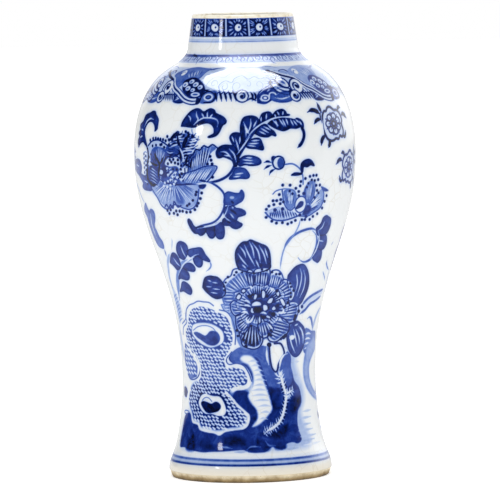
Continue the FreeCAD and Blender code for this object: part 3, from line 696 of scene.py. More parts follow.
# The large blossom in the middle has rows of petals drawn with fine strokes round a dark
# heart, dots along its rim, and a leaf above it and to each side.
def blossom(brush):
    """The large blossom between its three leaves."""
    brush.leaf([(-5.3, 115), (-6.5, 118), (-7, 121.5), (-6.5, 125), (-4.5, 128), (-2, 129.8), (0.5, 130),
        (2.3, 130.9), (5, 129.9), (8.5, 128.5), (11.5, 127.3), (13.5, 125), (14.6, 121.5), (15.1, 118),
        (14.8, 115), (8, 113), (2, 113)], 0.92, [[(1.6, 130), (3.6, 126), (4.6, 121)],
        [(3.4, 129.4), (7, 124.5), (8.6, 118.4)], [(7.4, 127.8), (10.6, 123), (12.6, 117.6)],
        [(-4, 127.4), (-1.6, 124.4), (-0.6, 121.4)], [(-5.4, 123.6), (-2.6, 119.8), (0.6, 116.6)],
        [(-1.2, 128.2), (1.4, 122.6), (5.2, 116.6)], [(11, 126.4), (13.2, 121)],
        [(-3, 117.6), (-0.6, 115.4)], [(5.6, 120), (8, 115.6)]])
    brush.leaf([(-33, 105), (-31.5, 108), (-29.5, 110.3), (-26, 111.2), (-23.5, 111), (-20.5, 110.5),
        (-18, 108.5), (-16, 105.5), (-16, 102), (-18, 100), (-22.5, 99), (-26, 99.8), (-29, 101.5),
        (-31.5, 103.3)], 0.9, [[(-28, 109), (-25.5, 108.3)], [(-24.5, 107.8), (-21, 107.5)],
        [(-30, 105.5), (-26, 105.3)], [(-25, 104.3), (-20, 104)], [(-27, 102.3), (-22, 101.8)]], vein=0.55)
    brush.leaf([(27.5, 109), (30, 112), (33, 114.8), (36, 116), (39, 116.3), (41.5, 115.3), (44.5, 112.8),
        (47, 109.5), (48.8, 105.5), (48.5, 101.5), (46.5, 98), (44, 95), (38, 93), (33, 95), (31, 100),
        (30, 105)], 0.84, [[(34, 113.8), (36, 110), (37.5, 106), (37, 101)],
        [(37, 114.8), (40, 110.5), (40.5, 105), (39, 99)], [(41, 113), (44, 108.5), (44.5, 103), (42, 98)]],
        vein=0.6)
    heart = (8, 94)
    brush.area([(-17, 104), (-15.5, 107.5), (-12, 110), (-10.5, 113), (-7.5, 115), (-3, 115.3), (2, 114.5),
        (5, 115.2), (10, 115.3), (14.5, 114), (17, 113.8), (21, 113.5), (24, 111.5), (26.5, 109.3),
        (31, 107.5), (34.5, 104.5), (35.5, 101.5), (35, 97), (38, 95), (40.5, 91), (41, 87), (37, 84),
        (35.5, 80), (33, 77), (27, 75.5), (20, 74.5), (14, 76.5), (10, 73), (3, 71.5), (-4, 71.5), (-8, 74),
        (-11, 80), (-13, 86), (-14, 92), (-16, 98)], 0.45)
    petals = (
        ([(-18, 103), (-17.5, 106.3), (-15, 109.6), (-11, 111.5), (-9, 114.8), (-5, 115.4), (-1, 114.6),
            (1.5, 111), (3, 106), (-2, 104), (-9, 102.4), (-14, 102.3)],
            [(-9, 102.8), (-3, 104.6), (2, 106.5)], [(-16, 104.4), (-12.5, 108.5), (-8.5, 110.8),
            (-5.5, 113), (-0.5, 113)], 0.36, 12, 0.72),
        ([(4.4, 106.5), (4.4, 111.5), (5.2, 114.6), (9.5, 115.5), (14.2, 115.2), (15.4, 112.6), (14.5, 107),
            (10, 105.6)], [(5.5, 106.8), (14, 106.2)], [(5.8, 112.4), (10, 113), (14.6, 112.2)], 0.64, 8,
            0.84),
        ([(-0.5, 113.5), (1.5, 114.8), (4, 113.5), (5, 109), (3.5, 105.5), (1, 107)],
            [(1.5, 106.5), (4, 106)], [(-0.3, 112), (3.8, 112)], 0.62, 3, 0.9),
        ([(14.8, 105.5), (15.4, 110.5), (16.6, 113.6), (20.5, 114), (23.6, 112), (25.4, 108.5), (24, 105.4),
            (19.5, 104.6)], [(15, 105.8), (23, 105.2)], [(16.4, 111), (20, 111), (24.4, 109)], 0.48, 8,
            0.76),
        ([(22.5, 104), (24.5, 108.2), (28.5, 108.4), (32, 106.6), (34.5, 103.8), (36.6, 101.5),
            (36.4, 98.6), (34.2, 96.6), (30.5, 97.6), (26, 97), (23, 100)],
            [(22.5, 104.5), (23.5, 101), (26, 98)], [(26.5, 107.6), (30, 105), (33.4, 102.6), (34.4, 98.6)],
            0.46, 8, 0.8),
        ([(-20, 95.6), (-14.5, 96), (-13, 93.6), (-13.5, 91), (-18, 92.6)], [(-14, 95.6), (-14, 92)],
            [(-18.6, 95), (-17, 92.8)], 0.36, 2, 0.5),
        ([(-18.8, 99.5), (-17, 102), (-13, 102.5), (-9.5, 101), (-9, 97.4), (-12, 95.6), (-17, 95.8)],
            [(-10, 101), (-10, 97)], [(-17.6, 100.8), (-17.4, 97)], 0.44, 3, 0.56),
        ([(-10, 99.5), (-9, 102.4), (-5.5, 103.8), (-1.6, 104.6), (0, 102.5), (-1.5, 98.6), (-5, 96.8),
            (-8.4, 97.2)], [(-1.5, 102), (-4.5, 98)], [(-4, 103.2), (-8.8, 101), (-9, 98.6)], 0.4, 3, 0.6),
        ([(-13.2, 96), (-10.5, 97.8), (-6.5, 97), (-3, 94.6), (-4, 91), (-9.5, 89.6), (-12.6, 92)],
            [(-4, 95), (-4.5, 91.5)], [(-9.5, 96.8), (-12.4, 94.8), (-10, 90.6)], 0.46, 6, 0.86),
        ([(-7.5, 80.4), (-6, 76.5), (-4.8, 73.4), (0, 71.8), (5, 71.3), (9.5, 72.6), (12, 76.4), (10, 80.5),
            (4, 84), (-1, 83)], [(-2, 82.5), (3, 84), (8, 82)],
            [(-6.2, 78.5), (-4, 74.5), (1, 73), (6, 72.6), (10.6, 75.6)], 0.74, 10, 0.93),
        ([(-9.5, 89.6), (-4.5, 91), (0, 89), (1.5, 85), (-2, 80.6), (-6.5, 80.4), (-9.4, 84)],
            [(-1.5, 89.5), (1, 85)], [(-8.4, 88), (-8, 83), (-3, 81.4)], 0.58, 9, 0.9),
        ([(25.5, 90), (27.5, 93), (31, 95.4), (36, 96.2), (41, 95), (42.8, 91.4), (41, 86.4), (36.5, 84.6),
            (29, 86)], [(27, 92.6), (26, 87)], [(38, 95), (41.4, 91), (37, 85.6)], 0.46, 9, 0.76),
        ([(16.5, 85.4), (22, 88.4), (28.5, 87.6), (35.2, 83.6), (34.8, 80), (29.5, 77.6), (24, 75),
            (18, 75.4), (16, 78.4), (20, 82)], [(20, 86.6), (17.8, 82), (16.6, 78.6)],
            [(33.6, 84), (34, 80.6), (28.5, 78), (22, 75.8)], 0.52, 11, 0.92),
        ([(7.5, 84.5), (13, 86.5), (19, 84), (20.5, 81.5), (17, 78.4), (12.5, 77.2), (8.6, 79.4)],
            [(8.5, 84.5), (15.5, 85.5)], [(9.5, 79.8), (14, 78.6), (19, 81.6)], 0.58, 7, 0.92))
    for rim, roots, tips, tone, strokes, edge_tone in petals:
        brush.area(rim, 0.12)
        brush.line(rim + rim[:1], 0.85, edge_tone)
        brush.area(roots + tips[::-1], tone + 0.2, soft=0.8)
        brush.streaks(roots, tips, strokes, 0.8, min(edge_tone + 0.1, 1))
        brush.streaks(roots, tips, strokes // 2 + 1, 0.62, layer=None)
    brush.area([(-4, 97), (-1, 102), (4, 105), (10, 106), (17, 105), (23, 103), (26, 98), (27.5, 92),
        (23, 87.5), (15, 86), (6, 84.5), (-1, 87), (-4.5, 92)], 0.74, soft=1.2)
    for bearing, near, far, width, tone, strokes in ((-72, 5, 12, 7.5, 0.6, 4), (-32, 5, 11.5, 6, 0.72, 3),
            (-4, 5, 12.8, 7, 0.62, 5), (30, 6, 13, 6.5, 0.7, 4), (62, 7, 15.5, 7, 0.6, 4),
            (93, 9, 17.5, 7, 0.7, 3), (124, 6, 13.5, 6.5, 0.64, 4), (156, 5, 9, 5.5, 0.78, 3),
            (190, 4, 9, 5, 0.72, 3), (228, 5, 11, 7.5, 0.66, 4)):
        brush.petal(heart, bearing, near, far, width, tone, strokes, 0.95)
    brush.disc(heart, 6.2, 4.2, 0.86)
    for lobe in (
            [(10.8, 99.4), (10.6, 102.4), (11.6, 103), (12.8, 101.4), (12.2, 99.2)],
            [(4.6, 98.8), (5.4, 101), (6.8, 100.6), (6, 98.6)],
            [(14.8, 96.4), (16.4, 98.4), (18.8, 98.6), (17.6, 96.2)],
            [(18.6, 92.8), (20.2, 94.2), (21.6, 92.8), (20, 92.2)],
            [(11.8, 95), (14.4, 94.8), (15, 92.8), (12.4, 92.2)],
            [(2.8, 93.6), (4.2, 93), (4.4, 91), (2.4, 91.6)],
            [(9.2, 89), (9.8, 86.4), (8.8, 85.4), (8.4, 87.6)],
            [(15, 89.4), (17.4, 88.6), (17, 87.8), (14.6, 88.6)],
            [(21.6, 103), (23.4, 101.4), (23, 99.8), (21.4, 101)],
            [(24.8, 97.6), (26.6, 98), (29.4, 94.8), (27.6, 94.4)],
            [(-8, 99.4), (-6.4, 101.2), (-4.8, 100.4), (-6.4, 98.6)],
            [(-4, 103), (-2.8, 104), (-1.4, 103.2), (-2.8, 102.4)]):
        brush.line(lobe + lobe[:1], 1.5, 0.97)
        brush.area(lobe, 0.0, layer=None)
        brush.area(lobe, 0.12)
    brush.area([(3.2, 95), (4, 96.4), (6.5, 97.2), (9.2, 96.6), (10, 95.2), (6.6, 94.9)], 0.0, layer=None)
    for stroke in ([(-1.2, 88.8), (-0.6, 86.6), (1.4, 86.2), (3.2, 87.6), (4.6, 89.6)],
            [(26.8, 93.4), (28.4, 91.6), (27, 90.4), (22.6, 90.6)], [(-2.8, 97.6), (-0.6, 97.8), (2, 96.2)],
            [(-3.4, 95.4), (0, 95.2), (2.4, 94.4)], [(-4.6, 93.4), (-1.4, 93)],
            [(-5, 91.2), (-2, 91.8), (0.6, 90.4)], [(1.8, 105.8), (3.6, 104.4)],
            [(15.4, 85.2), (18, 83.4), (20.4, 81.2)], [(9.8, 90.8), (12.4, 91), (14.6, 90.2)],
            [(16.8, 104.2), (18.2, 102.6)]):
        brush.spare(stroke, 1.1, 0.3)
    brush.disc((7.4, 92.7), 2.6, 2.0, 1.0, layer=ink)
    for spot, width in (((1.5, 100.1), 2.6), ((3.4, 100.8), 1.6), ((12.2, 88.4), 2.6), ((10.4, 89.2), 1.8),
            ((20, 89.8), 3.0), ((21.4, 102.6), 2.0), ((24.4, 100), 1.5), ((-6, 101.7), 1.2),
            ((2.5, 84), 1.8), ((8.4, 106), 1.2), ((29, 93.4), 2.0), ((31.4, 95.8), 2.0),
            ((-3.2, 79.6), 1.6), ((-3.6, 76.4), 1.5), ((-2, 73), 2.0), ((2.6, 73.6), 1.6),
            ((17.4, 73.4), 2.7), ((18.6, 81.2), 1.9), ((17, 79.4), 2.0), ((18.8, 78.4), 1.8),
            ((32, 77.9), 2.4), ((30.2, 77), 2.2), ((27.8, 76.3), 1.6), ((40.2, 88.2), 2.4),
            ((39.4, 86.4), 2.0), ((43, 90.7), 2.2), ((31.3, 106.3), 1.6), ((32.4, 104.4), 1.6),
            ((35.2, 102.3), 1.9), ((33, 101), 1.7), ((33.4, 99), 1.8), ((-16.7, 105.6), 1.5),
            ((-15, 107.8), 1.3), ((-16.6, 103.6), 1.4), ((-13, 110.8), 1.6), ((-8.6, 111.9), 1.3),
            ((-7.1, 113.4), 1.6), ((-3.3, 113.3), 1.4), ((9.8, 114.6), 1.5), ((13.1, 114.1), 1.5),
            ((16.7, 113), 1.5), ((19.8, 111.8), 1.5), ((22.2, 111.8), 1.8), ((-9, 81.6), 1.8),
            ((-8.4, 78.6), 1.6)):
        brush.dot(spot, width, 0.97)


# The tree peony on the left opens seen from the side: veined petals round a dotted crown,
# some washed and some only hatched, with a rippled leaf rising behind it.
def tree_peony(brush):
    """The large flower, from the petals at its foot up to the dots on its crown."""
    brush.area([(-60, 158), (-56, 160.5), (-48, 162), (-38, 163), (-28, 162), (-24, 160), (-25, 155),
        (-28, 150), (-33, 148), (-38, 149), (-42, 150), (-47, 148), (-51, 150), (-57, 155)], 0.4,
        pooled=0.2)
    for wash_points, tone in (
            ([(-41.5, 162), (-41, 156), (-39.5, 151), (-35, 150.5), (-34.5, 155), (-36, 161)], 0.58),
            ([(-51, 161), (-44, 162), (-40, 160), (-42, 156.5), (-49, 156)], 0.52)):
        brush.area(wash_points, tone, soft=2)
    brush.streaks([(-46, 162), (-41, 162.6), (-36, 162)], [(-58, 157), (-52, 151), (-46, 148.8),
        (-40, 151.5), (-33, 149), (-27, 152), (-25, 158)], 30, 0.55, 0.7)
    brush.streaks([(-45, 161), (-38, 161)], [(-56, 156), (-50, 151), (-40, 152.5), (-28, 151.5)], 11, 0.45,
        layer=None)
    brush.line([(-58, 157.5), (-54.5, 153.5), (-52, 149.5), (-48.5, 147.4), (-45, 148), (-42, 149.8),
        (-39, 149.6), (-36, 148.3), (-32, 147.6), (-28.5, 149), (-26, 153), (-25, 158.5)], 0.9, 0.74)
    brush.line([(-49, 148.6), (-47.5, 149.8), (-46, 148), (-44.4, 149.8), (-43, 148), (-41.4, 151.6),
        (-39.4, 148.8), (-37, 149.6)], 1.1, 0.78)

    brush.area([(-60.5, 169), (-57, 170.5), (-52, 171.5), (-49.5, 168), (-50, 163), (-54, 160),
        (-59.5, 160.4), (-61.6, 165)], 0.74)
    for height in (169.6, 167.9, 166.2, 164.5, 162.8, 161.4):
        brush.line([(-60, height + 0.8), (-56, height), (-51.6, height - 2.2)], 0.75, 0.96, 0.3)
        brush.spare([(-58.6, height), (-55.4, height - 1), (-52.4, height - 2.6)], 0.5, 0.4)
    brush.line([(-59.6, 170.6), (-61.6, 167), (-61, 162.6), (-57, 160), (-52.6, 160.6)], 2.2, 1.0, 0.2)
    brush.area([(-59.5, 180.5), (-56, 183.6), (-51, 184.4), (-46, 182.6), (-43, 179.5), (-42.5, 174),
        (-45.5, 170.5), (-50, 170), (-55, 172), (-59, 175.5)], 0.24)
    brush.area([(-57, 177.6), (-54, 180.4), (-49, 180.6), (-44, 179), (-42.7, 175), (-45.5, 171),
        (-50, 170.5), (-57, 172)], 0.66)
    brush.area([(-50, 179.4), (-46.4, 178), (-45, 175), (-47.4, 174)], 0.5, soft=1.8)
    brush.streaks([(-53, 171), (-47, 170.6)], [(-57.5, 174.5), (-54.5, 180), (-48, 180.8), (-43, 176.5)], 9,
        0.9, 0.98)
    brush.streaks([(-51, 172.5), (-48, 172.5)], [(-53, 179), (-49, 179.8), (-44.6, 177)], 5, 0.4,
        layer=None)
    brush.line([(-59.8, 181), (-56, 183.6), (-51, 184.3), (-47, 183.2), (-43.5, 181.5)], 1.0, 0.88)
    for crease, width in (
            ([(-55.5, 178.8), (-52.4, 175), (-49.8, 171), (-51, 166), (-50, 161.6)], 2.0),
            ([(-58, 172.6), (-54, 171), (-50, 170.8)], 1.8),
            ([(-46, 176), (-48, 173), (-50, 170.8)], 1.4)):
        brush.line(crease, width, 1.0, 0.3)
    brush.area([(-45, 175), (-44.6, 180.6), (-41, 182.6), (-36.5, 180.5), (-36, 176.5), (-39, 174.8)], 0.72)
    for height in (175.6, 177, 178.4, 179.8, 181.2):
        brush.line([(-45, height + 0.8), (-41.5, height - 0.3), (-37.5, height + 0.5)], 0.9, 0.97, 0.3)
    brush.spare([(-44.4, 178.6), (-42, 177.6), (-39, 178.2)], 0.5)
    brush.area([(-48.5, 172), (-43.5, 174.5), (-38, 174.8), (-34.3, 171.5), (-33.6, 166.5), (-34.5, 161.5),
        (-43, 160.5), (-49, 162.5), (-48.5, 167)], 0.66)
    brush.area([(-48, 171.5), (-45, 172.6), (-43, 170), (-43.5, 166), (-46.5, 164), (-48.5, 166)], 0.86,
        soft=1.2)
    brush.area([(-45.6, 171.6), (-43.4, 174.6), (-38, 175.4), (-34.4, 172.6), (-33.2, 168), (-34.4, 163.4),
        (-36.4, 164), (-35.8, 168), (-37.6, 170.6), (-42.4, 170.4)], 0.1)
    brush.line([(-46.4, 171.6), (-44, 175.2), (-38, 176.2), (-33.8, 173.2), (-32.4, 168), (-33.6, 162.6)],
        0.8, 0.95)
    brush.streaks([(-46, 168), (-41.5, 162)], [(-42, 170.4), (-36.4, 165)], 7, 0.7, 0.88)
    brush.streaks([(-45, 168), (-40.5, 162)], [(-41.6, 170), (-36.6, 166)], 4, 0.5, layer=None)
    brush.disc((-48.8, 167.2), 1.9, 1.5, 0.1)
    brush.ring((-48.8, 167.2), 2.2, 1.7, 0.9, 0.95)
    brush.line([(-50.5, 166), (-49.5, 163), (-44, 161.3), (-37, 160.8), (-30, 161.2), (-24, 160.8)], 1.2,
        0.86, 0.2)
    for spot in ((-46.5, 161.6), (-44, 162.4), (-42.5, 160.4), (-45, 159.4), (-47.5, 159.8), (-41, 162.8),
            (-43, 158.4), (-40, 161)):
        brush.blank(spot, 0.75, 0.65)
        brush.dot((spot[0] + 0.9, spot[1] - 0.8), 0.9, 0.9)

    brush.area([(-41, 182.6), (-39.4, 187), (-36.5, 188.6), (-33, 188), (-30.5, 188.8), (-28, 187),
        (-26.4, 184), (-27.6, 179), (-29.4, 175.6), (-28.6, 171), (-34.6, 170), (-36, 178.5)], 0.6)
    ripples = ((188.4, -38.5, -34), (186.9, -40, -32.5), (185.4, -41.5, -32), (183.9, -43, -31.5),
        (182.4, -42.5, -33), (187.2, -30.5, -26), (185.6, -31, -24.2), (184, -31.5, -24), (182.4, -32, -25),
        (180.8, -36, -25), (179.2, -35.8, -25.6), (177.6, -35.5, -26.4), (176, -35.3, -27),
        (174.4, -35, -27.4), (172.8, -34.6, -27.8), (171.3, -34.4, -28))
    for number, (height, left, right) in enumerate(ripples):
        middle = (left + right) / 2 + 1.2 * math.sin(number * 2.3)
        brush.line([(left, height - 1.2), (middle - 1, height + 0.5), (middle + 1.5, height - 0.6),
            (right + 0.8 * math.sin(number * 3.1), height + 1.0)], 1.1 + 0.3 * math.sin(number * 1.7), 0.98,
            0.3)
        brush.spare([(left + 0.5, height - 1.9), (middle, height - 0.3), (right - 0.6, height + 0.1)], 0.7,
            0.3)
    for crease, width in (
            ([(-37.5, 189), (-36.5, 184), (-35, 179.5), (-34.8, 171.5)], 2.0),
            ([(-30.5, 187.5), (-32, 184), (-34, 179.5)], 2.6),
            ([(-38, 188.8), (-40, 186.4), (-42.6, 183.6)], 1.8),
            ([(-40, 178.4), (-37.6, 176.6), (-35.6, 178), (-37, 179.6), (-39, 179.4)], 1.0)):
        brush.line(crease, width, 1.0, 0.3)
    brush.spare([(-36, 181.4), (-33.6, 177), (-33, 173)], 0.9, 0.3)
    brush.area([(-30.4, 168), (-29.8, 174.5), (-27.4, 177.4), (-25.4, 179.4), (-21.6, 180.8), (-17, 181.6),
        (-14.6, 180.3), (-17.6, 177.5), (-19, 173), (-21, 169.5), (-26, 167.8)], 0.56)
    brush.streaks([(-29.8, 168.2), (-25, 168.3), (-20, 170)], [(-28.8, 175), (-24, 180.5), (-16, 181.5)],
        11, 1.15, 1.0)
    brush.streaks([(-28.7, 168.6), (-24.4, 168.8), (-20, 171)],
        [(-27.7, 174.5), (-23.2, 180), (-16.5, 180.8)], 8, 0.6, layer=None)
    brush.line([(-30.6, 168), (-30, 172), (-29.4, 175.6), (-27.4, 177), (-25.8, 179.6), (-23.4, 179.4),
        (-21.4, 181.6), (-19, 180.8), (-16.6, 182.2), (-14, 180.4)], 0.9, 0.96)
    brush.line([(-31.8, 170.6), (-31.4, 174), (-29.6, 176.8)], 1.6, 1.0, 0.3)
    brush.area([(-36, 162), (-33.6, 166), (-27, 168), (-20, 170.5), (-15, 170.3), (-17.5, 166),
        (-22, 162.5), (-30, 161.2)], 0.5)
    brush.streaks([(-35.5, 162.4), (-29, 161.6), (-21, 162.5)], [(-32.5, 167.2), (-24, 169), (-15.2, 170)],
        14, 0.8, 0.86)
    brush.streaks([(-35, 163), (-28.6, 162), (-21, 163)], [(-32, 166.8), (-23.5, 168.6), (-16.5, 169.6)],
        10, 0.6, layer=None)
    brush.line([(-33.6, 166.6), (-27, 168.4), (-21, 170.6), (-14.6, 170.6), (-17, 166), (-20, 162.5)], 0.8,
        0.84)
    for spot in ((-58, 184), (-55.3, 185), (-53, 185.2), (-51, 185), (-49, 184.8), (-47, 184.6), (-45, 184),
            (-42.7, 184.6), (-40.5, 184.5), (-44, 186.3), (-39, 186.5), (-38, 188), (-36.5, 187.7),
            (-32, 189), (-33, 187), (-30, 186.5), (-30.5, 188.3), (-28, 187), (-55.5, 181), (-52.5, 181.5),
            (-49, 181.8), (-48, 182), (-46, 180.5), (-42.5, 182), (-57, 176.5), (-60, 178), (-59, 175),
            (-60, 172.5), (-57.5, 169.3), (-43.4, 171.8), (-41, 172.8), (-38.5, 172.4), (-36.5, 171.9),
            (-42, 174), (-39.6, 174.2), (-36.6, 174), (-34.6, 171), (-35, 169), (-34.4, 166.6),
            (-35.6, 165), (-40, 169), (-37.5, 168.8), (-36, 166), (-31, 171.3), (-18, 176), (-17.5, 174),
            (-19.5, 172), (-17, 172), (-17, 165), (-23.5, 156.5), (-24.5, 153.5), (-26, 151), (-27, 149.5),
            (-28.5, 147.5), (-31.5, 146.2), (-34, 146), (-36.5, 146.5), (-38.5, 146.5), (-40.5, 144.5),
            (-41, 146.5), (-43, 145.2), (-46.5, 145), (-33, 149.5), (-31.5, 150.5), (-29, 152.5),
            (-27, 155.5), (-26.5, 157), (-45, 147), (-47.6, 146.6)):
        brush.dot(spot, 1.75, 0.98)
    for height in (177, 174.6, 172, 169.6, 167, 164.6, 162):
        brush.line([(-65.4, height), (-62.6, height + 0.6), (-60.4, height - 0.4)], 0.6, 0.5, 0.3)
        brush.dot((-64.6, height - 0.6), 1.5, 0.9)
        brush.dot((-62.4, height - 1.6), 1.6, 0.95)
    for azimuth, height in ((-44, 169.2), (-41.5, 167.4), (-38.4, 167), (-35.6, 167.6), (-43.6, 165.8),
            (-40.4, 164.8), (-37.4, 164.6), (-34.8, 163.4), (-42, 163.2), (-38.8, 162.4)):
        brush.blank((azimuth, height), 0.95, 0.75)
        brush.dot((azimuth + 0.7, height - 0.6), 1.1, 0.95)
    brush.line([(-62.4, 182), (-60.4, 179), (-59.6, 175), (-60.6, 172), (-61.4, 168)], 1.6, 1.0, 0.2)
    brush.line([(-20, 162.5), (-22.5, 163), (-25, 163.5)], 1.3, 0.9, 0.3)
    brush.area([(-25, 160.5), (-24, 161), (-21, 161.2), (-20.8, 160), (-22.5, 158.6), (-24.5, 159)], 0.9)


# The smaller peony on the right hangs from a thin stem, its petals washed pale round a
# curled heart, with a rim of dots.
def round_peony(brush):
    """The smaller flower, petal by petal round its curled heart."""
    brush.area([(11, 145.5), (14, 147.5), (18, 148.6), (22, 148), (26, 146), (29, 144), (26, 142),
        (21, 141), (16, 141.3), (13, 143)], 0.24)
    brush.streaks([(13, 146.2), (19, 147.8), (28, 145)], [(13.5, 142.8), (21, 141.4), (30, 143)], 13, 0.8,
        0.85)
    brush.line([(10.5, 145.6), (13, 143), (16, 141.4), (21, 141), (26, 142), (30, 143.2)], 1.0, 0.72)
    brush.line([(11, 145.8), (14, 147.3), (18, 148.4)], 0.5, 0.4)
    brush.area([(20, 156.5), (21, 151), (22.5, 147.8), (24.8, 146.8), (27, 149), (27.8, 153), (26.5, 157),
        (23, 158)], 0.56, pooled=0.2)
    brush.streaks([(22.5, 148), (26, 148)], [(20.8, 157), (27, 157)], 7, 0.6, 0.85)
    brush.streaks([(23.5, 150), (25.5, 150)], [(22, 156.5), (26, 156.5)], 4, 0.45, layer=None)
    brush.line([(19.3, 157.3), (20.5, 151), (22.5, 147.4), (25, 146.4), (27, 148)], 0.8, 0.75)
    brush.line([(14.3, 155.4), (16, 157), (19.5, 157.9), (24, 157.6), (27, 155.6), (27.5, 152.5)], 0.7, 0.6)
    brush.area([(31.5, 154), (32.5, 158.5), (35, 161.5), (37.5, 161.5), (38.8, 157), (38, 152),
        (35.5, 149.5), (33.5, 150.5)], 0.6, pooled=0.15)
    brush.streaks([(33.5, 150.5), (37, 150)], [(32.4, 158.5), (38.4, 161)], 7, 0.6, 0.85)
    brush.streaks([(34, 152), (36.5, 152)], [(33.5, 158), (37.5, 160)], 4, 0.45, layer=None)
    brush.line([(38.6, 161), (39, 157), (38.3, 152.5), (36, 149.3)], 0.7, 0.75)
    brush.area([(36, 143.2), (40, 144.5), (44, 146.5), (46, 150), (46, 154), (44, 157), (40, 154),
        (38, 150), (34.5, 147)], 0.48, pooled=0.3)
    brush.streaks([(33, 144.5), (35.5, 148.5)], [(42, 146), (46, 150), (43.5, 156)], 9, 0.6, 0.8)
    brush.streaks([(36, 146), (37, 148.5)], [(44, 149.5), (42.5, 155)], 5, 0.5, layer=None)
    brush.area([(32, 143.5), (36, 143.2), (38, 147), (34.5, 149)], 0.78, soft=1.5)
    brush.line([(30, 143), (36, 142.7), (40, 144.4), (44, 146.7), (45.8, 150), (45.8, 154), (44.5, 156.5)],
        0.8, 0.72)
    brush.area([(43, 158.3), (46, 157.5), (49.3, 155.7), (46.5, 155.3), (44.5, 156)], 0.72)
    brush.disc((30.5, 149.3), 3.4, 4.3, 0.0)
    brush.ring((30.6, 149.2), 3.6, 4.4, 0.8, 0.75)
    brush.area([(27.3, 146.6), (29.5, 147), (32, 148.3), (32.2, 150.5), (30.3, 151), (28.8, 149.5)], 0.85)
    for spot in ((29.8, 161.5), (32.5, 163), (35.3, 164), (37.5, 164.4), (39.5, 164.4), (40.8, 162),
            (19.5, 160), (23.6, 159.8), (17.8, 155), (14.5, 151.8), (12.3, 149), (11, 147.3), (11, 143),
            (14.3, 140.8), (17, 139.7), (20.5, 139.8), (23.8, 139), (26, 139.7), (28.3, 140.7),
            (32.5, 140.9), (34.5, 140.9), (37.8, 140.8), (39.8, 142.3), (42.7, 143.6), (45.8, 146.5),
            (47, 150), (48, 153), (23.5, 156.7), (25.2, 155.2), (27, 158), (28.8, 156.2), (29, 154),
            (29.5, 159.2), (34.5, 160.3), (33.5, 158.3), (39.7, 159), (42.2, 159), (40.5, 156.2),
            (41.7, 154.8), (39.3, 152.5), (16.5, 151.8), (18.7, 152.3), (18.5, 150.1), (15, 149.7),
            (20.3, 151), (36.5, 162), (38.5, 161.6)):
        brush.dot(spot, 1.7, 0.95)
    for spot in ((32, 155), (15.7, 146.8), (20, 147.2), (30.8, 143.5), (35, 142.6)):
        brush.dot(spot, 2.1, 0.86)


# The rosettes on the right are round flowers of two rings of scallops, with short thick
# leaves standing off them.
def rosette(brush, tone=0.97):
    """A round flower of scalloped petals with its leaves."""
    brush.area([(46.3, 186), (45.3, 190), (46.3, 195.5), (48.3, 198), (52, 199.9), (54.5, 200.1),
        (58, 198.5), (62, 196.8), (63.5, 193), (62.3, 190.5), (63, 187), (61, 183.5), (57.5, 183),
        (55, 183), (51, 182.2), (48, 183.4)], 0.14)
    brush.line([(46.3, 186), (45.3, 190), (46.3, 195.5), (48.3, 198), (50, 198.1), (52, 199.9),
        (54.5, 200.1), (57.5, 198.3), (60, 198.2), (62.5, 196.5), (63.5, 193), (62.3, 190.8), (63.2, 187),
        (61.5, 184), (59, 184.6), (57.5, 183), (55, 183.3), (53.5, 182.6), (51, 182.2), (48, 183.4),
        (46.3, 186)], 1.5, tone)
    brush.area([(49, 188), (48.2, 192), (50, 195.4), (53.5, 197.2), (57.6, 196), (60.6, 193.4),
        (60.4, 188.6), (57.6, 185.6), (53.4, 185.2)], 0.72 * tone)
    for turn in range(7):
        angle = math.radians(turn * 360 / 7 + 14)
        spot = (54.6 + 4.7 * math.sin(angle), 191.2 + 4.1 * math.cos(angle))
        brush.blank(spot, 1.75, 1.5)
        brush.ring(spot, 2.0, 1.7, 0.95, tone)
        brush.line([(54.6 + 1.6 * math.sin(angle), 191.2 + 1.5 * math.cos(angle)), spot], 0.8, tone, 0.4)
        between = angle + math.pi / 7
        brush.line([(54.6 + 5.6 * math.sin(between), 191.2 + 4.8 * math.cos(between)),
            (54.6 + 7.4 * math.sin(between), 191.2 + 6.4 * math.cos(between))], 0.8, tone, 0.3)
    brush.disc((54.6, 191.2), 2.4, 2.1, min(tone * 1.1, 1), layer=ink)
    brush.blank((54.6, 191.2), 0.8, 0.7)
    for stroke, width in (([(36.3, 198), (39, 199), (42, 198.6), (45, 196.5)], 2.1),
            ([(39.5, 191.8), (42, 193.8), (44.8, 193.8)], 1.9),
            ([(44.6, 202.7), (45.3, 200), (46.3, 197.3)], 1.6),
            ([(43, 180.3), (44, 183.5), (46.6, 185.5)], 2.1),
            ([(48.3, 178.8), (49.4, 181), (49.3, 183)], 2.0),
            ([(61, 197.5), (63, 199.6), (65.5, 199.3)], 1.8),
            ([(63.5, 195), (67, 196), (70.5, 193.5)], 2.0), ([(62, 184.5), (64.5, 184), (66.3, 187)], 1.7),
            ([(46.5, 198), (44.8, 196.5), (45, 192)], 0.9)):
        brush.line(stroke, width * 1.15, min(tone * 1.1, 1), 0.3)


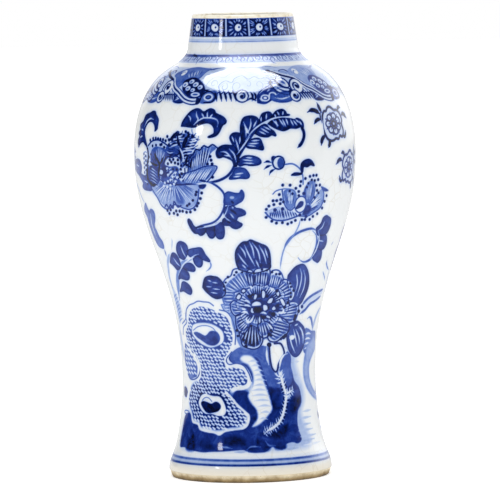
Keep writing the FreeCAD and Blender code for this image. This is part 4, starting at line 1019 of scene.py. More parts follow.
# The leaves are the widest strokes: a dark wash inside a darker edge, with ribs and veins
# left white. The first curls at the top left, and a second one beside it seen in profile.
def curled_leaf(brush):
    """The crested leaf that curls over the tree peony."""
    brush.leaf([(-35, 192), (-34.5, 194), (-33, 196.5), (-31, 198.8), (-29.5, 200), (-27, 201),
        (-25, 200.8), (-23, 199.6), (-21.5, 199.6), (-20.5, 200.3), (-18.5, 201), (-16.5, 200.3),
        (-15.5, 198.8), (-14, 198), (-11.5, 196.8), (-9.8, 195), (-10, 193.5), (-11.5, 192.5),
        (-12.5, 190.5), (-13.5, 188.5), (-15, 187), (-17.5, 186.2), (-19, 186.3), (-16.5, 187.6),
        (-15.8, 188.5), (-16, 191), (-17.5, 193), (-20, 193.8), (-23, 193.2), (-26, 191.8), (-28, 191.5),
        (-30, 191.6), (-32.5, 191.9)], 0.97, [[(-26.8, 199.8), (-26.2, 197.3), (-25.2, 195.3),
        (-27.3, 192.8)], [(-31.5, 197.6), (-30, 196.3), (-29.7, 194.5)], [(-27.5, 192.6), (-25, 194.8),
        (-22, 196.3), (-18, 196.3), (-15, 195.5), (-14, 194), (-14.2, 191.5)],
        [(-21.8, 196.3), (-23.5, 198.8)], [(-19.8, 196.4), (-20.2, 198.2), (-20, 199.5)],
        [(-18.5, 196.6), (-17.2, 198.2)]], pooled=0.15)
    brush.line([(-28.5, 191.5), (-28.2, 189), (-27, 187)], 0.7, 0.5, 0.3)


def hooked_leaf(brush):
    """The leaf in profile at the far left, a hook with lobes on its back."""
    brush.leaf([(-54.3, 189), (-52.3, 190.5), (-51.8, 193), (-53, 195.5), (-55.5, 197.5), (-57, 199),
        (-59.5, 199.2), (-62, 198.3), (-65, 197.6), (-67.5, 196.4), (-69, 193.5), (-72.5, 191.5),
        (-71, 189), (-73.5, 187.5), (-71.5, 185.5), (-74, 183), (-72.5, 180), (-69.5, 182), (-66, 183),
        (-63, 181.5), (-61, 180.5), (-63, 184), (-65, 188), (-64, 191.5), (-61.5, 193.7), (-58.5, 194),
        (-56.3, 193), (-54.8, 191.3)], 0.9, [[(-66, 191), (-64, 193.8), (-60.5, 195.4), (-57, 195)],
        [(-70, 189.5), (-67, 189)], [(-71, 185), (-67, 186)]], vein=0.8)


# The feathery frond grows on the stem that climbs between the flowers. It is painted lobe
# by lobe, with the veins left white, and a bud on its own stem stands beside it.
def frond(brush):
    """The frond and the bud beside it."""
    lobes = (
        ([(-5.5, 170.5), (-6.3, 173.5), (-8.5, 175), (-11, 175.8), (-13.2, 175.3), (-14.3, 176),
            (-14.6, 178.5), (-13, 180.8), (-10.5, 181.8), (-7.5, 181.7), (-5, 181), (-3, 178),
            (-3.2, 174.5), (-4.3, 171)], 0.92),
        ([(-4.5, 180), (-6.5, 183), (-7.5, 186), (-6, 188), (-3.5, 188.2), (-1.6, 187), (-1.4, 183),
            (-2.2, 178.5), (-3.2, 176)], 0.9),
        ([(-1.3, 182), (-1.8, 187), (-2, 191.5), (-0.8, 195.5), (1.5, 196.8), (4.5, 196.9), (6.8, 195.8),
            (7.8, 193.2), (5.5, 190.3), (2.5, 187.3), (0.3, 184)], 0.88),
        ([(7, 192.3), (8.3, 195.3), (9.5, 197.8), (11.5, 198.7), (13.5, 198.8), (14.7, 197.5),
            (13.8, 195.6), (11, 193.8)], 0.92),
        ([(14.6, 195.9), (16.3, 198.3), (18.5, 199.6), (21, 200), (22.5, 199), (23.3, 197.5), (24.7, 197),
            (21.5, 196.7), (17.5, 196.4)], 0.92),
        ([(0.3, 181.3), (1.5, 183.6), (4.5, 185), (7.5, 185), (8.7, 182.8), (9.3, 179.3), (5.5, 179.9),
            (2, 180.3)], 0.85),
        ([(5.3, 187.9), (8.5, 186.3), (12, 186), (14, 186.9), (16.1, 186.4), (15.2, 188.6), (13, 190.2),
            (11.2, 192.3), (8.2, 191.6)], 0.88),
        ([(12.5, 192.8), (16, 190.5), (20, 189), (22.5, 189.4), (24.5, 190.2), (28, 190), (30.5, 190.6),
            (31.8, 189.3), (32.3, 192), (31.2, 194), (29, 195), (27.5, 194.4), (24.5, 195), (20, 195.4),
            (15, 194.5)], 0.92),
        ([(-2.5, 174.5), (0, 176), (4, 175.8), (7, 174.5), (8, 172.5), (6.5, 171.3), (3, 171), (0, 171.5),
            (-3, 171)], 0.8),
        ([(-5, 169.5), (-3.5, 169.8), (-0.5, 169.3), (1.2, 167.5), (2, 165.5), (0.8, 164.2), (-3, 164.3),
            (-8, 164), (-6.5, 166.5)], 0.72))
    brush.line([(-20, 162.5), (-15, 162.8), (-10, 165), (-7, 168), (-5, 172), (-2.5, 177), (0.5, 182),
        (5, 188.5), (10, 193)], 1.5, 0.85, 0.1)
    for points, tone in lobes:
        brush.leaf(points, min(tone + 0.08, 1))
    for vein in ([(-8, 180), (-5.5, 177), (-4.5, 173)], [(-4.8, 185.5), (-3.6, 181.5), (-3, 178)],
            [(0.3, 184), (4, 189), (8, 192.2), (13, 194.6), (18, 196), (24, 196.2)],
            [(12, 198), (11.5, 195)], [(18, 199), (19, 197)], [(15, 194.7), (18, 191.5)],
            [(18.5, 195.3), (21, 191.3)], [(22.5, 195.3), (23.3, 192)], [(28, 194.5), (30, 192.8)],
            [(8.5, 190.5), (12.5, 188)], [(2, 182.5), (7, 182.6)], [(-4, 177), (0, 182.5), (2.5, 186)],
            [(-1, 174), (4, 173.5)], [(-5, 166.5), (-1, 167)], [(-12.5, 178.5), (-9.5, 178), (-6.5, 174.5)],
            [(-10.5, 176.6), (-7.5, 176)], [(-0.4, 194), (0.8, 190), (0.6, 186)],
            [(3.4, 195.6), (3.2, 192), (1.6, 188)], [(6.4, 194.4), (4.6, 191)], [(9, 196.4), (8.8, 194)],
            [(16.4, 197.6), (17, 196)], [(21.4, 199), (20.8, 197)], [(16.6, 194.6), (17.4, 191)],
            [(20.4, 195), (22, 191)], [(25, 194.6), (26.4, 191.4)], [(26.6, 194.2), (28.6, 191.4)],
            [(30.2, 193.6), (31.4, 191.4)], [(10, 191.4), (13.6, 189.4)], [(7.6, 188.9), (11, 187.2)],
            [(3.4, 184), (7.4, 184.2)], [(1.6, 181.6), (5.6, 181)], [(0.5, 175.2), (3.6, 175)],
            [(-1, 172.4), (4.4, 172)], [(-6, 165), (-2.6, 165.4)], [(-6.6, 186.6), (-5.4, 183.4)],
            [(-2.4, 186.6), (-2.6, 182.6)]):
        brush.spare(vein, 0.7)
    brush.spare([(0.6, 191.5), (1.2, 189.5), (2.2, 187.8)], 1.3)
    brush.line([(30.5, 191.2), (32, 188.3), (32, 185.2), (30.4, 182), (28, 179.6)], 1.9, 0.95, 0.12)
    brush.disc((18.3, 171.8), 1.9, 3.0, 0.7)
    brush.ring((17.3, 172), 3.3, 3.4, 0.9, 0.95)
    for sepal in ([(9.6, 172.3), (11.5, 172.9), (13.6, 172)], [(9.6, 168.8), (11.5, 170.2), (13.6, 170.8)],
            [(12.3, 165.7), (13.3, 167.6), (15.6, 168.8)], [(13.6, 172.5), (14.2, 175), (16, 175.4)]):
        brush.line(sepal, 1.3, 0.92, 0.4)
    brush.line([(20.7, 171), (24.5, 171.2), (27.5, 169.7), (30, 167), (31, 163.5), (31.2, 160)], 0.9, 0.6)
    brush.leaf([(30.3, 165.7), (29.7, 168.5), (30, 171), (32, 172.6), (34.5, 173), (36.3, 172),
        (37.8, 169.8), (36.8, 169.9), (35.5, 170.2), (33.5, 169.3), (31.3, 169.5), (30.8, 167)], 0.93,
        pooled=0.05)
    brush.leaf([(24.4, 165.2), (26, 166.1), (28.5, 166), (30.3, 165.6), (27.5, 165.1)], 0.9, pooled=0)


# The crescent leaf hangs below the stem. Six scalloped lobes stand round the outside of its
# curved white rib, in a wash that deepens towards its end.
def crescent_leaf(brush):
    """A curved rib with scalloped lobes round its outside."""
    lobes = (
        [(-10.8, 156), (-9, 157), (-6, 156.3), (-3.3, 156.2), (-2.2, 157.8), (-1.2, 156.5), (-1, 154.5),
            (-2, 152.3), (-4, 151), (-6, 150), (-9, 150.3), (-11.5, 151)],
        [(-9.5, 149.5), (-8, 149.2), (-6.8, 149.5), (-5.3, 148.2), (-3, 147.8), (-0.8, 146.6), (-0.5, 145),
            (-2.3, 144.2), (-4.5, 143.5), (-5.5, 142), (-8, 142.5), (-11.5, 144.5), (-11.5, 148)],
        [(-10, 143), (-6, 141.8), (-4, 140.5), (-2.4, 139.6), (-3.2, 138.2), (-5.5, 137.3), (-7.5, 137.7),
            (-9.3, 139), (-12, 139.2), (-13, 140.5), (-12.5, 142.5)],
        [(-13, 140.3), (-12.6, 137.5), (-12.8, 134.5), (-13.8, 132.3), (-15.8, 131.8), (-17.3, 132.8),
            (-18, 135), (-18.3, 138.5), (-15.5, 140.5)],
        [(-18, 138.4), (-18.3, 135.5), (-18.5, 133.5), (-20, 132.2), (-21.8, 132.6), (-22.8, 134.5),
            (-23.5, 136), (-23, 138)],
        [(-23, 137), (-25, 134.5), (-27.2, 133.6), (-29, 134.6), (-31, 134.8), (-32.5, 136.5),
            (-33.8, 139.5), (-34, 141.5), (-33.2, 142.2), (-32, 141), (-31, 138.8), (-29.5, 137.8),
            (-26, 138.5)])
    for points, tone in zip(lobes, (0.72, 0.8, 0.86, 0.84, 0.9, 0.9)):
        brush.leaf(points, tone)
    brush.disc((-7.2, 154), 1.2, 0.8, 0.3)
    brush.line([(-7.8, 152.4), (-6.4, 150.6)], 1.7, 0.92, 0.3)
    brush.line([(-9.2, 147.8), (-6.6, 146.4), (-4.6, 144.4)], 1.8, 0.94, 0.3)
    brush.spare([(-8.6, 145.6), (-7.4, 143.9), (-6.6, 142.9)], 0.6)
    brush.spare([(-7.4, 149), (-6.6, 148.2)], 0.6)
    brush.spare([(-11.8, 143.6), (-10.4, 142.4), (-8.6, 141.2)], 0.5)
    brush.line([(-11, 141.2), (-8.4, 140.2)], 1.6, 0.95, 0.3)
    brush.spare([(-28.5, 137.2), (-22.5, 138.3), (-17, 139.7), (-13.5, 142.5), (-10.8, 146), (-9.2, 150)],
        0.7)
    brush.line([(-30, 138), (-24, 139.2), (-19, 140.4), (-15.5, 142.6), (-12.8, 146.2), (-11.4, 150),
        (-11.2, 155.5), (-13.5, 159), (-17, 161.5), (-20.5, 162.3)], 1.2, 0.78, 0.1)


# The lower leaves are in a thinner, greyer blue: the frond on the left and the curled leaf
# on the right.
def lower_frond(brush):
    """The frond at the lower left with its thick stem."""
    brush.line([(-62, 97), (-59.5, 103), (-56.5, 108.5), (-52, 113.5), (-47, 117), (-42, 119),
        (-36, 120.5)], 3.4, 0.42, 0.25, layer=wash)
    lobes = (
        [(-47.5, 121), (-48.3, 124.5), (-46.5, 128), (-43.5, 129.7), (-40, 129), (-38.3, 126.8),
            (-38.7, 124.5), (-41, 122), (-44, 120)],
        [(-40, 124.6), (-37, 125.6), (-33, 126.3), (-29, 126.6), (-27.5, 125), (-26.5, 122.8),
            (-24.8, 120.8), (-24.3, 119.3), (-27, 119.8), (-29.5, 120.6), (-33, 122), (-38, 121.8)],
        [(-36, 120.5), (-35.5, 118), (-33.5, 116.3), (-31.3, 116.5), (-29.8, 118.2), (-29.6, 120.8),
            (-32, 122)],
        [(-47, 115.5), (-44, 117.3), (-40, 118), (-37.5, 117.2), (-36.3, 115.3), (-37.5, 113.8),
            (-41, 113.8), (-44.5, 114.5)],
        [(-50.5, 113.5), (-47.5, 114.8), (-44, 113.5), (-42.8, 111.5), (-44, 109.3), (-47, 108.8),
            (-52, 109.5), (-55, 109)],
        [(-55, 104), (-52, 107), (-48.5, 107.3), (-45, 105.5), (-43.8, 103), (-45.5, 101), (-48.5, 101.2),
            (-53, 102.5), (-57.5, 102)],
        [(-59.5, 117.8), (-56.5, 121), (-53.5, 123), (-50.5, 122.8), (-48.8, 120.5), (-48.5, 117.3),
            (-50, 115), (-53.5, 114), (-56, 116)])
    for points in lobes:
        brush.leaf(points, 0.82)
    brush.line([(-24.6, 120.2), (-23.7, 117.5), (-25, 115.5), (-28, 113.8)], 0.9, 0.5, 0.3, layer=wash)
    brush.spare([(-54, 111), (-50, 114), (-45.5, 117.2), (-40, 119.8), (-34, 122.5), (-30, 123.5)], 0.8)
    brush.spare([(-43.5, 127.5), (-43, 124), (-41.5, 121)], 0.6)
    brush.spare([(-54, 120.5), (-51.5, 117.5), (-49, 116)], 0.6)
    brush.line([(-49.5, 147), (-48, 142), (-47.5, 137), (-49.5, 131), (-53, 125)], 0.8, 0.3, 0.1,
        layer=wash)
    brush.line([(-64, 117), (-61, 120), (-57, 123)], 0.9, 0.35, 0.3, layer=wash)


def looped_leaf(brush):
    """The leaf on the right that loops on its stem."""
    brush.line([(23, 124), (24.2, 128), (27, 131.5), (32, 134.2), (38, 135.6), (42, 135.4), (46, 133.5)],
        1.5, 0.62, 0.2, layer=wash)
    brush.line([(41.5, 134.5), (45.5, 131.5), (47.3, 127), (46.8, 122), (44.8, 118.8), (40, 117.6),
        (36.5, 118.6), (34.3, 120.2)], 1.5, 0.62, 0.25, layer=wash)
    for points in (
            [(44, 135.5), (47.2, 138), (48.3, 141), (50.5, 142), (53, 141.2), (55.5, 139.8), (56.3, 136),
                (54.5, 132.5), (50, 131.3), (46, 132.3)],
            [(47.5, 131.8), (54, 131.3), (56.5, 128.5), (57, 126), (55.5, 124), (52, 123.5), (49.2, 125.3),
                (47.6, 128.5)],
            [(47.5, 124.5), (53.2, 123.5), (55, 121), (55.3, 118.5), (53.3, 116.8), (51, 117.3),
                (47.5, 118.7), (46.3, 121)]):
        brush.leaf(points, 0.82)
    brush.spare([(45, 118.8), (48.3, 124), (48.6, 130), (46, 134.3)], 0.8)
    brush.spare([(50, 139), (49, 136), (46.5, 134.5)], 0.6)
    brush.spare([(53.5, 128), (50.5, 128.5), (48.5, 129)], 0.6)
    brush.line([(31.5, 142), (31, 138), (29, 133.5), (26, 129.5), (23.5, 126), (22.3, 120), (22.3, 114.5)],
        0.85, 0.45, 0.1, layer=wash)


# Beside the blossom on the lower right are a folded leaf, a double-edged twig and pale
# stems, fainter towards the side.
def lower_right(brush):
    """The folded leaf, the twig and the pale stems."""
    brush.leaf([(35.5, 84), (42, 85.3), (48, 83.2), (53, 80), (54.5, 75), (52, 70), (47, 66.7), (42, 66.2),
        (37, 69), (34.5, 73), (33.5, 78)], 0.8, [[(36, 78), (38.6, 73), (43, 68)],
        [(42, 81), (46, 77), (48, 72.5)], [(45, 82.5), (49.5, 79.5), (51, 76)],
        [(39.6, 81), (42.4, 76.4), (45, 71.4)], [(47.4, 81.8), (51.6, 77.4), (52, 73)],
        [(40.6, 83), (44, 83.6)]], vein=0.75)
    brush.disc((38.7, 76.6), 1.9, 1.3, 0.0)
    brush.area([(53, 80), (58, 80.5), (64, 79), (74, 78), (76, 72), (68, 66), (60, 66.5), (53, 69)], 0.62,
        pooled=0.2)
    for height in (77.5, 74.8, 72.1, 69.6):
        brush.spare([(54.5, height), (59, height + 0.4), (63.5, height - 0.2)], 1.0)
    brush.area([(45, 88.5), (50, 92.5), (57, 95.5), (66, 97), (74, 99), (72, 101.5), (62, 100.5), (53, 98),
        (47, 94.5)], 0.16)
    brush.line([(45.5, 93.5), (50, 96.5), (56, 98.6), (64, 100), (74, 101)], 1.5, 0.6, 0.1, layer=wash)
    brush.line([(44.5, 89), (50, 91), (55, 93.8), (62, 95.3), (72, 97.5)], 1.5, 0.6, 0.1, layer=wash)
    for spot in ((43, 90.7), (40, 87.5), (46, 93)):
        brush.dot(spot, 2.2, 0.85)
    brush.line([(55, 86), (58, 86.7), (61.5, 85.2), (64, 82.4), (66.5, 79)], 1.9, 0.55, 0.35, layer=wash)
    brush.line([(66, 79), (68, 84), (72, 88), (80, 91.5)], 2.2, 0.3, 0.2, layer=wash)
    brush.area([(58, 71), (55.5, 66), (53.8, 60), (54.5, 54), (58, 49), (64, 45), (72, 42), (82, 40.5),
        (82, 44), (74, 46.5), (68, 50), (64.5, 54), (63.5, 58.5), (66, 62.5), (72, 66), (78, 69), (72, 76),
        (64, 74)], 0.52, pooled=0.35, soft=1.2)
    brush.line([(66, 127), (63.3, 124), (62.6, 120), (65, 116), (69.5, 113), (76, 111)], 1.3, 0.5, 0.2,
        layer=wash)
    brush.line([(62.5, 111.6), (67, 109), (73, 105.5)], 1.1, 0.45, 0.3, layer=wash)


# Round the shoulder runs a collar of scrolls, berries and feathered strokes on a pale
# ground. It repeats four times, and its wash is thinner in every other quarter.
hoop(209, 222.3, 0.22)


def coil(brush, spot, reach, start):
    """A dark coil round a dark eye, on a spot left white inside a ring."""
    across, up = reach + 0.5, reach * 0.92 + 0.5
    brush.blank(spot, across, up)
    brush.ring(spot, across, up, 0.75, 0.95)
    brush.curl(spot, reach * 0.7, start, 1.3, 0.85, 0.95)
    brush.dot(spot, reach * 0.62, 1.0)


def shoulder_scrolls(brush, depth):
    """A quarter of the collar, from its wash to its scrolls; a depth below 1 thins its upper wash."""
    brush.area([(-56, 219.3), (-50, 221.3), (-44, 222.3), (-37, 222.5), (-30, 222), (-25, 221.6),
        (-28, 219.8), (-29.5, 217.5), (-32, 216.3), (-37, 216.6), (-40, 215.4), (-43.5, 212), (-47, 211.5),
        (-50, 214.5), (-54, 217)], 0.6 * depth, pooled=0.1)
    brush.area([(-39, 221), (-34, 220.8), (-31.8, 218), (-34, 217.2), (-38, 218.3)], 0.45, soft=1.6)
    brush.streaks([(-56, 220.5), (-47, 221.8)], [(-52, 215.8), (-44, 213)], 7, 0.8, 0.82 * depth)
    brush.streaks([(-45, 222.3), (-31, 222)], [(-43, 214.5), (-31, 217)], 8, 0.6, 0.8 * depth)
    brush.streaks([(-43, 219), (-34, 221)], [(-40, 217), (-33, 218.6)], 4, 0.5, layer=None)
    brush.line([(-31, 220.8), (-25, 221.2), (-20, 221.9), (-15, 222.2)], 1.5, 0.7, 0.5)
    brush.area([(-50.2, 220), (-48, 220.9), (-45.8, 219.9), (-46.4, 218.4), (-49, 218.3)], 0.0, layer=None)
    brush.line([(-49.5, 219.2), (-48.6, 220.1), (-47.2, 219.7)], 0.5, 0.6)
    for number in range(9):
        height = 221.7 - number * 1.45
        brush.line([(-76, height + 0.5), (-67, height + 0.7 - 0.6 * (number % 2)),
            (-57 - number * 0.6, height - 0.8)], 0.75, 0.56, 0.3)
    # The double lines, curls and small hooks that lie under the lamp's reflection on the front are painted
    # faint: their tone is partly a painted highlight, lowered as the glare lowers it, and the same faint
    # tone repeats in every quarter.
    for edge, tone in (
            ([(-14, 209.8), (-15.5, 213), (-12, 215.5), (-7.5, 214.6), (-6, 216.6), (-1, 218), (3, 216.2),
                (7, 217.4), (11, 216.2), (15, 217), (18, 214.6)], 0.46),
            ([(-24, 213), (-22, 216), (-18, 217.6), (-13, 217.2), (-9, 219.2), (-2, 220.6), (5, 219.6),
                (12, 220.2), (18, 218)], 0.36)):
        brush.line(edge, 0.75, tone)
        brush.line([(x + 0.6, z - 0.95) for x, z in edge], 0.5, tone * 0.8)
    for spot, reach, start, turns in (((-4, 212.6), 3.4, 90, 1.5), ((9.5, 213.2), 2.7, 220, -1.3),
            ((-12, 212.4), 2.2, 0, 1.2), ((2.8, 213.6), 2.0, 300, 1.1), ((-19, 214), 2.3, 120, -1.2)):
        brush.curl(spot, reach, start, turns, 0.6, 0.44)
    for x in range(-12, 16, 4):
        brush.line([(x, 221.4), (x + 1.6, 220.4), (x + 3.4, 221.2)], 0.6, 0.36, 0.3)

    brush.area([(-73, 205.4), (-68, 203.6), (-62, 203.8), (-58.5, 205.5), (-58, 208.8), (-62, 209.6),
        (-66, 209.2), (-69, 207.6), (-72, 208.2)], 0.8, pooled=0.3)
    brush.streaks([(-71, 207.6), (-60, 208.8)], [(-69, 204.6), (-59.5, 205.4)], 6, 0.6, 0.95)
    brush.spare([(-70, 206.2), (-66, 205.6), (-61, 206.6)], 0.6)
    brush.area([(-51, 210.2), (-46, 211), (-42, 208.7), (-38, 206.2), (-41, 204.2), (-47, 204.6),
        (-52.5, 205)], 0.12)
    brush.area([(-44, 207.7), (-40, 208.7), (-36.5, 206.8), (-35.6, 204.7), (-39, 203.7), (-44, 204.5)],
        0.97, pooled=0.2)
    brush.spare([(-43, 205.3), (-40, 206.6), (-37.4, 206.3)], 0.65)
    brush.spare([(-42.5, 206.7), (-40, 207.6)], 0.55)
    for x in (-53.5, -51.7, -49.9, -48.1, -46.3, -44.5):
        brush.line([(x - 1.8, 210), (x, 207.5), (x + 1.6, 204.7)], 1.1, 0.96, 0.3)
        brush.line([(x - 0.6, 208.4), (x + 1.4, 208.2)], 0.8, 0.9, 0.4)
    brush.area([(-26, 212), (-22, 210.4), (-17.5, 210.6), (-15, 208.6), (-16.6, 205), (-20, 203.9),
        (-26, 204.4)], 0.62)

    brush.area([(6.5, 204.6), (8, 208.6), (12, 211.4), (17, 213.4), (19.6, 213.9), (22.4, 210.8), (26, 209),
        (26, 205.2), (22.5, 203.7), (19, 204.9), (16, 204.9), (12.5, 203.2), (9.5, 203.2)], 0.92,
        pooled=0.15)
    brush.spare([(8.6, 208.3), (12.5, 210.9), (17, 212.6), (19.6, 212.9)], 0.5)
    for spot, across, up in (((12.2, 206.3), 2.2, 1.5), ((16.8, 207.6), 1.9, 1.4), ((22, 206.9), 2.4, 1.6)):
        brush.ring(spot, across, up, 0.75, layer=None)
        brush.blank(spot, across * 0.42, up * 0.42)
    brush.spare([(9, 206.2), (10.4, 204.6)], 0.6)
    brush.spare([(18.4, 210.6), (21, 209.6), (24.6, 208.6)], 0.7)
    brush.spare([(13.8, 209.6), (16, 210.9)], 0.6)

    for edge in (
            [(-68, 219.6), (-62, 217.9), (-57, 216.8), (-53, 215.8), (-50.2, 213.9), (-47, 211.7),
                (-42.5, 209.8), (-39, 207.8), (-35.5, 206), (-31, 205), (-27.6, 205.2)],
            [(18.4, 214.4), (20.6, 211.4), (24, 209.8), (27, 209.3)]):
        brush.line(edge, 4.4, 0.95)
        brush.line([(x - 0.3, z - 0.85) for x, z in edge], 1.1, layer=None)
        brush.line([(x + 0.3, z + 0.85) for x, z in edge], 1.15, layer=None)
    brush.area([(-42, 214.7), (-39, 216.9), (-34, 217.2), (-29.5, 215.9), (-25.5, 213.4), (-23.6, 210.5),
        (-24.6, 208), (-28.4, 206.6), (-33, 206.6), (-36, 208.2), (-39.5, 210.4)], 0.95 * (0.5 + depth / 2))
    for berry, across, up in (((-39.3, 213.6), 1.7, 1.3), ((-35.4, 215.2), 1.6, 1.1),
            ((-36.1, 211.7), 1.6, 1.2), ((-31.4, 213.7), 1.7, 1.25), ((-32.2, 210.8), 1.4, 0.95),
            ((-27.6, 212.3), 1.5, 1.15)):
        brush.blank(berry, across, up)
        brush.disc((berry[0] - 0.3, berry[1] - 0.15), across * 0.5, up * 0.5, 0.55)
    brush.blank((-29.6, 208.5), 2.8, 1.2)
    brush.disc((-29.6, 208.5), 1.7, 0.55, 0.7)
    brush.line([(-26, 204.6), (-24.4, 208.7), (-20.4, 210.1), (-16.8, 207.6), (-18.4, 204.7), (-23, 204.3)],
        1.1, 0.98)
    brush.ring((-20.8, 207.1), 2.3, 1.5, 0.8, 0.1, layer=None)
    brush.ring((-20.8, 207.1), 1.3, 0.8, 0.8, 0.95)
    brush.line([(-25.5, 211.4), (-23.5, 210.6), (-21, 211)], 1.3, 0.98, 0.3)
    for x in (-16.6, -13.8, -11, -8.2, -5.6):
        brush.line([(x - 1.2, 210.6), (x + 0.3, 208), (x + 1.2, 204.9)], 1.25, 1.0, 0.3)
        brush.line([(x - 0.9, 208.3), (x + 0.8, 208.9), (x + 1.9, 210.3)], 0.8, 0.9, 0.35)
    for x in (4.4, 6.2):
        brush.line([(x - 0.6, 209.6), (x + 0.6, 207.6), (x + 0.2, 204.8)], 1.2, 1.0, 0.3)
    coil(brush, (-54, 212), 3.6, 200)
    coil(brush, (-57, 207), 2.7, 30)
    coil(brush, (-1, 207.5), 2.9, -60)
    brush.line([(2, 205), (4, 206.2), (7, 204.9)], 1.2, 1.0, 0.3)
    bud = [(20.4, 215), (22.6, 217.3), (25.6, 216.6), (28.6, 214.2), (28.4, 211.6), (24.6, 212)]
    brush.area(bud, 0.05)
    brush.line(bud + bud[:1], 0.75, 0.95)
    brush.line([(22.4, 215.3), (24.6, 214.6), (26.8, 213)], 1.5, 0.6, 0.3)
    brush.area([(24.6, 218.6), (28.4, 220.2), (32, 219.2), (30, 217), (26.4, 216.9)], 0.45, pooled=0.3)
    brush.line([(23.6, 218), (27, 220.2), (31, 220.6), (34, 219.2)], 0.8, 0.9, 0.2)


for quarter, depth in ((0, 1), (88, 0.62), (178, 1), (268, 0.62)):
    shoulder_scrolls(Brush((-17, 213), (quarter - 17, 213)), depth)
nape = Brush((0, 227))
for number, azimuth in enumerate(np.arange(-180, 180, 7.2)):
    height = 226.4 + 0.5 * math.sin(number * 1.9)
    nape.curl((azimuth, height), 1.9 + 0.4 * math.sin(number * 2.7), 200 + 40 * math.sin(number), 1.2, 0.6,
        0.74)
    nape.line([(azimuth + 2, height - 1.2), (azimuth + 4, height - 0.2), (azimuth + 6, height + 0.9)], 0.55,
        0.66, 0.3)
    nape.spare([(azimuth + 1.4, height + 1.4), (azimuth + 3.4, height + 0.6), (azimuth + 5, height - 0.8)],
        0.45, 0.3)
Brush((0, 228)).line([(-61, 228.7), (-56, 228.3), (-50, 228)], 1.7, 0.97, 0.3)

# Under the lip is a collar of thirteen dark panels, each with a white eye and rays scratched
# out of the blue, and a pale bar between neighbours.
PANELS = [-59, -32, -5, 18.5, 46] + [46 + 28.3 * step for step in range(1, 9)]
PANEL_FOOT, PANEL_MIDDLE, PANEL_TOP = 238.6, 243.2, 247.9
RAYS = 22
hoop(238.3, 248.2, 0.94, waver=0.05)
for number, middle in enumerate(PANELS):
    following = PANELS[(number + 1) % len(PANELS)] + (FULL_TURN if number == len(PANELS) - 1 else 0)
    eye = Brush((middle, 243))
    centre = np.array([middle, PANEL_MIDDLE])
    tilt = (0, -28, -12, -18, -15)[number % 5]
    wide = (2.5, 2.5, 1.8, 2.0, 2.7)[number % 5]
    for ray in range(RAYS):
        angle = math.radians(ray * FULL_TURN / RAYS + 6 * math.sin(ray * 2.1 + number))
        along = np.array([math.sin(angle) * 2.02, math.cos(angle)])
        reach = min(5.7 / max(abs(math.sin(angle)), 0.1), 4.7 / max(abs(math.cos(angle)), 0.1))
        start = centre + along * (2.9 + 0.3 * (ray % 2))
        stop = centre + along * max(reach - 0.5 * (ray % 3), 3.8)
        eye.line([start, (start + stop) / 2 + [0.4, 0], stop], 0.5, 0.22, 0.3, layer=wash)
    eye.disc((middle, PANEL_MIDDLE), wide, 2.0, 0.03, lean=tilt)
    eye.ring((middle, PANEL_MIDDLE), wide + 0.3, 2.3, 0.7, 1.0, lean=tilt)
    eye.dot((middle + 1, 243.4), 1.1, 0.85)
    bar = (middle + following) / 2
    post = Brush((bar, 243))
    for across, tone in ((3, 0.97), (1, 0.24)):
        post.area([(bar - across - 0.4, PANEL_TOP), (bar + across - 0.4, PANEL_TOP),
            (bar + across + 0.4, PANEL_FOOT), (bar - across + 0.4, PANEL_FOOT)], tone, straight=True)


# The same garden is painted on the other side, turned about, and the gaps between the two
# are filled with a leaf or a rosette from either.
def garden(brush):
    """The whole picture, from the ground up, as the painter laid it."""
    for motif in (ground, lower_right, rock, blossom, lower_frond, looped_leaf, crescent_leaf, tree_peony,
            round_peony, frond, curled_leaf, hooked_leaf, rosette):
        motif(brush)


garden(Brush((0, 150)))
garden(Brush((0, 150), (186, 150), mirror=True))
rosette(Brush((54, 191), (69.5, 167), size=0.95, mirror=True), 0.85)
rosette(Brush((54, 191), (112, 170), size=0.95), 0.8)
round_peony(Brush((30, 150), (-97, 171)))
looped_leaf(Brush((48, 127), (88, 121), mirror=True))
twig = Brush((96, 100), (99, 100))
twig.line([(73, 111), (78, 103), (86, 96), (94, 88), (98, 80), (99, 70), (97, 62)], 1.1, 0.6, 0.1)
twig.leaf([(88, 93), (91, 97), (97, 99.5), (103, 98.5), (100, 95), (94, 92.5)], 0.8,
    [[(90, 94.5), (99, 97.5)]])
Brush((96, 20), (103, 20)).area([(80, 16.6), (90, 15.8), (101, 16), (112, 16.8), (110, 19.6), (103, 21.6),
    (94, 21.8), (86, 20.8)], 0.8, soft=1.2)
rock(Brush((-35, 60), (103, 40.6), size=0.62))
side_leaf = Brush((-69, 165))
side_leaf.leaf([(-81, 172), (-75, 173), (-70.5, 172.5), (-68.3, 169.5), (-69.5, 166.5), (-71, 165.8),
    (-69, 165.3), (-65.5, 164.5), (-62, 164.5), (-60, 161), (-58.5, 159), (-59, 157.2), (-63, 157),
    (-67, 157.3), (-69.5, 158.5), (-68, 160.5), (-70, 162.5), (-74, 165), (-80, 167)], 0.72,
    [[(-78, 170), (-72, 169.5)], [(-66, 162), (-62, 161)]])
side_leaf.leaf([(-71, 149), (-69.5, 149.5), (-68.5, 147.5), (-67, 145.5), (-64.5, 146.5), (-62, 146.3),
    (-60.8, 145), (-61, 143), (-62.5, 140.5), (-64.5, 138.5), (-65, 136.5), (-64, 134.5), (-63, 131.5),
    (-61, 129.5), (-60.7, 127.5), (-62, 125.5), (-65, 125.5), (-68, 126), (-70.5, 127.5), (-72, 130),
    (-73, 134), (-73.5, 138), (-73, 142), (-75.5, 144.5), (-74, 147)], 0.62,
    [[(-66, 144), (-68.5, 138), (-68, 131)]], rim=0.7)
side_leaf.line([(-61.5, 125), (-62, 121)], 1.0, 0.6, 0.3, layer=wash)
side_leaf.line([(-57, 122.5), (-60, 120), (-63, 117.5), (-66, 113), (-68.5, 109), (-69, 104), (-68, 100)],
    2.0, 0.3, 0.1, layer=wash)
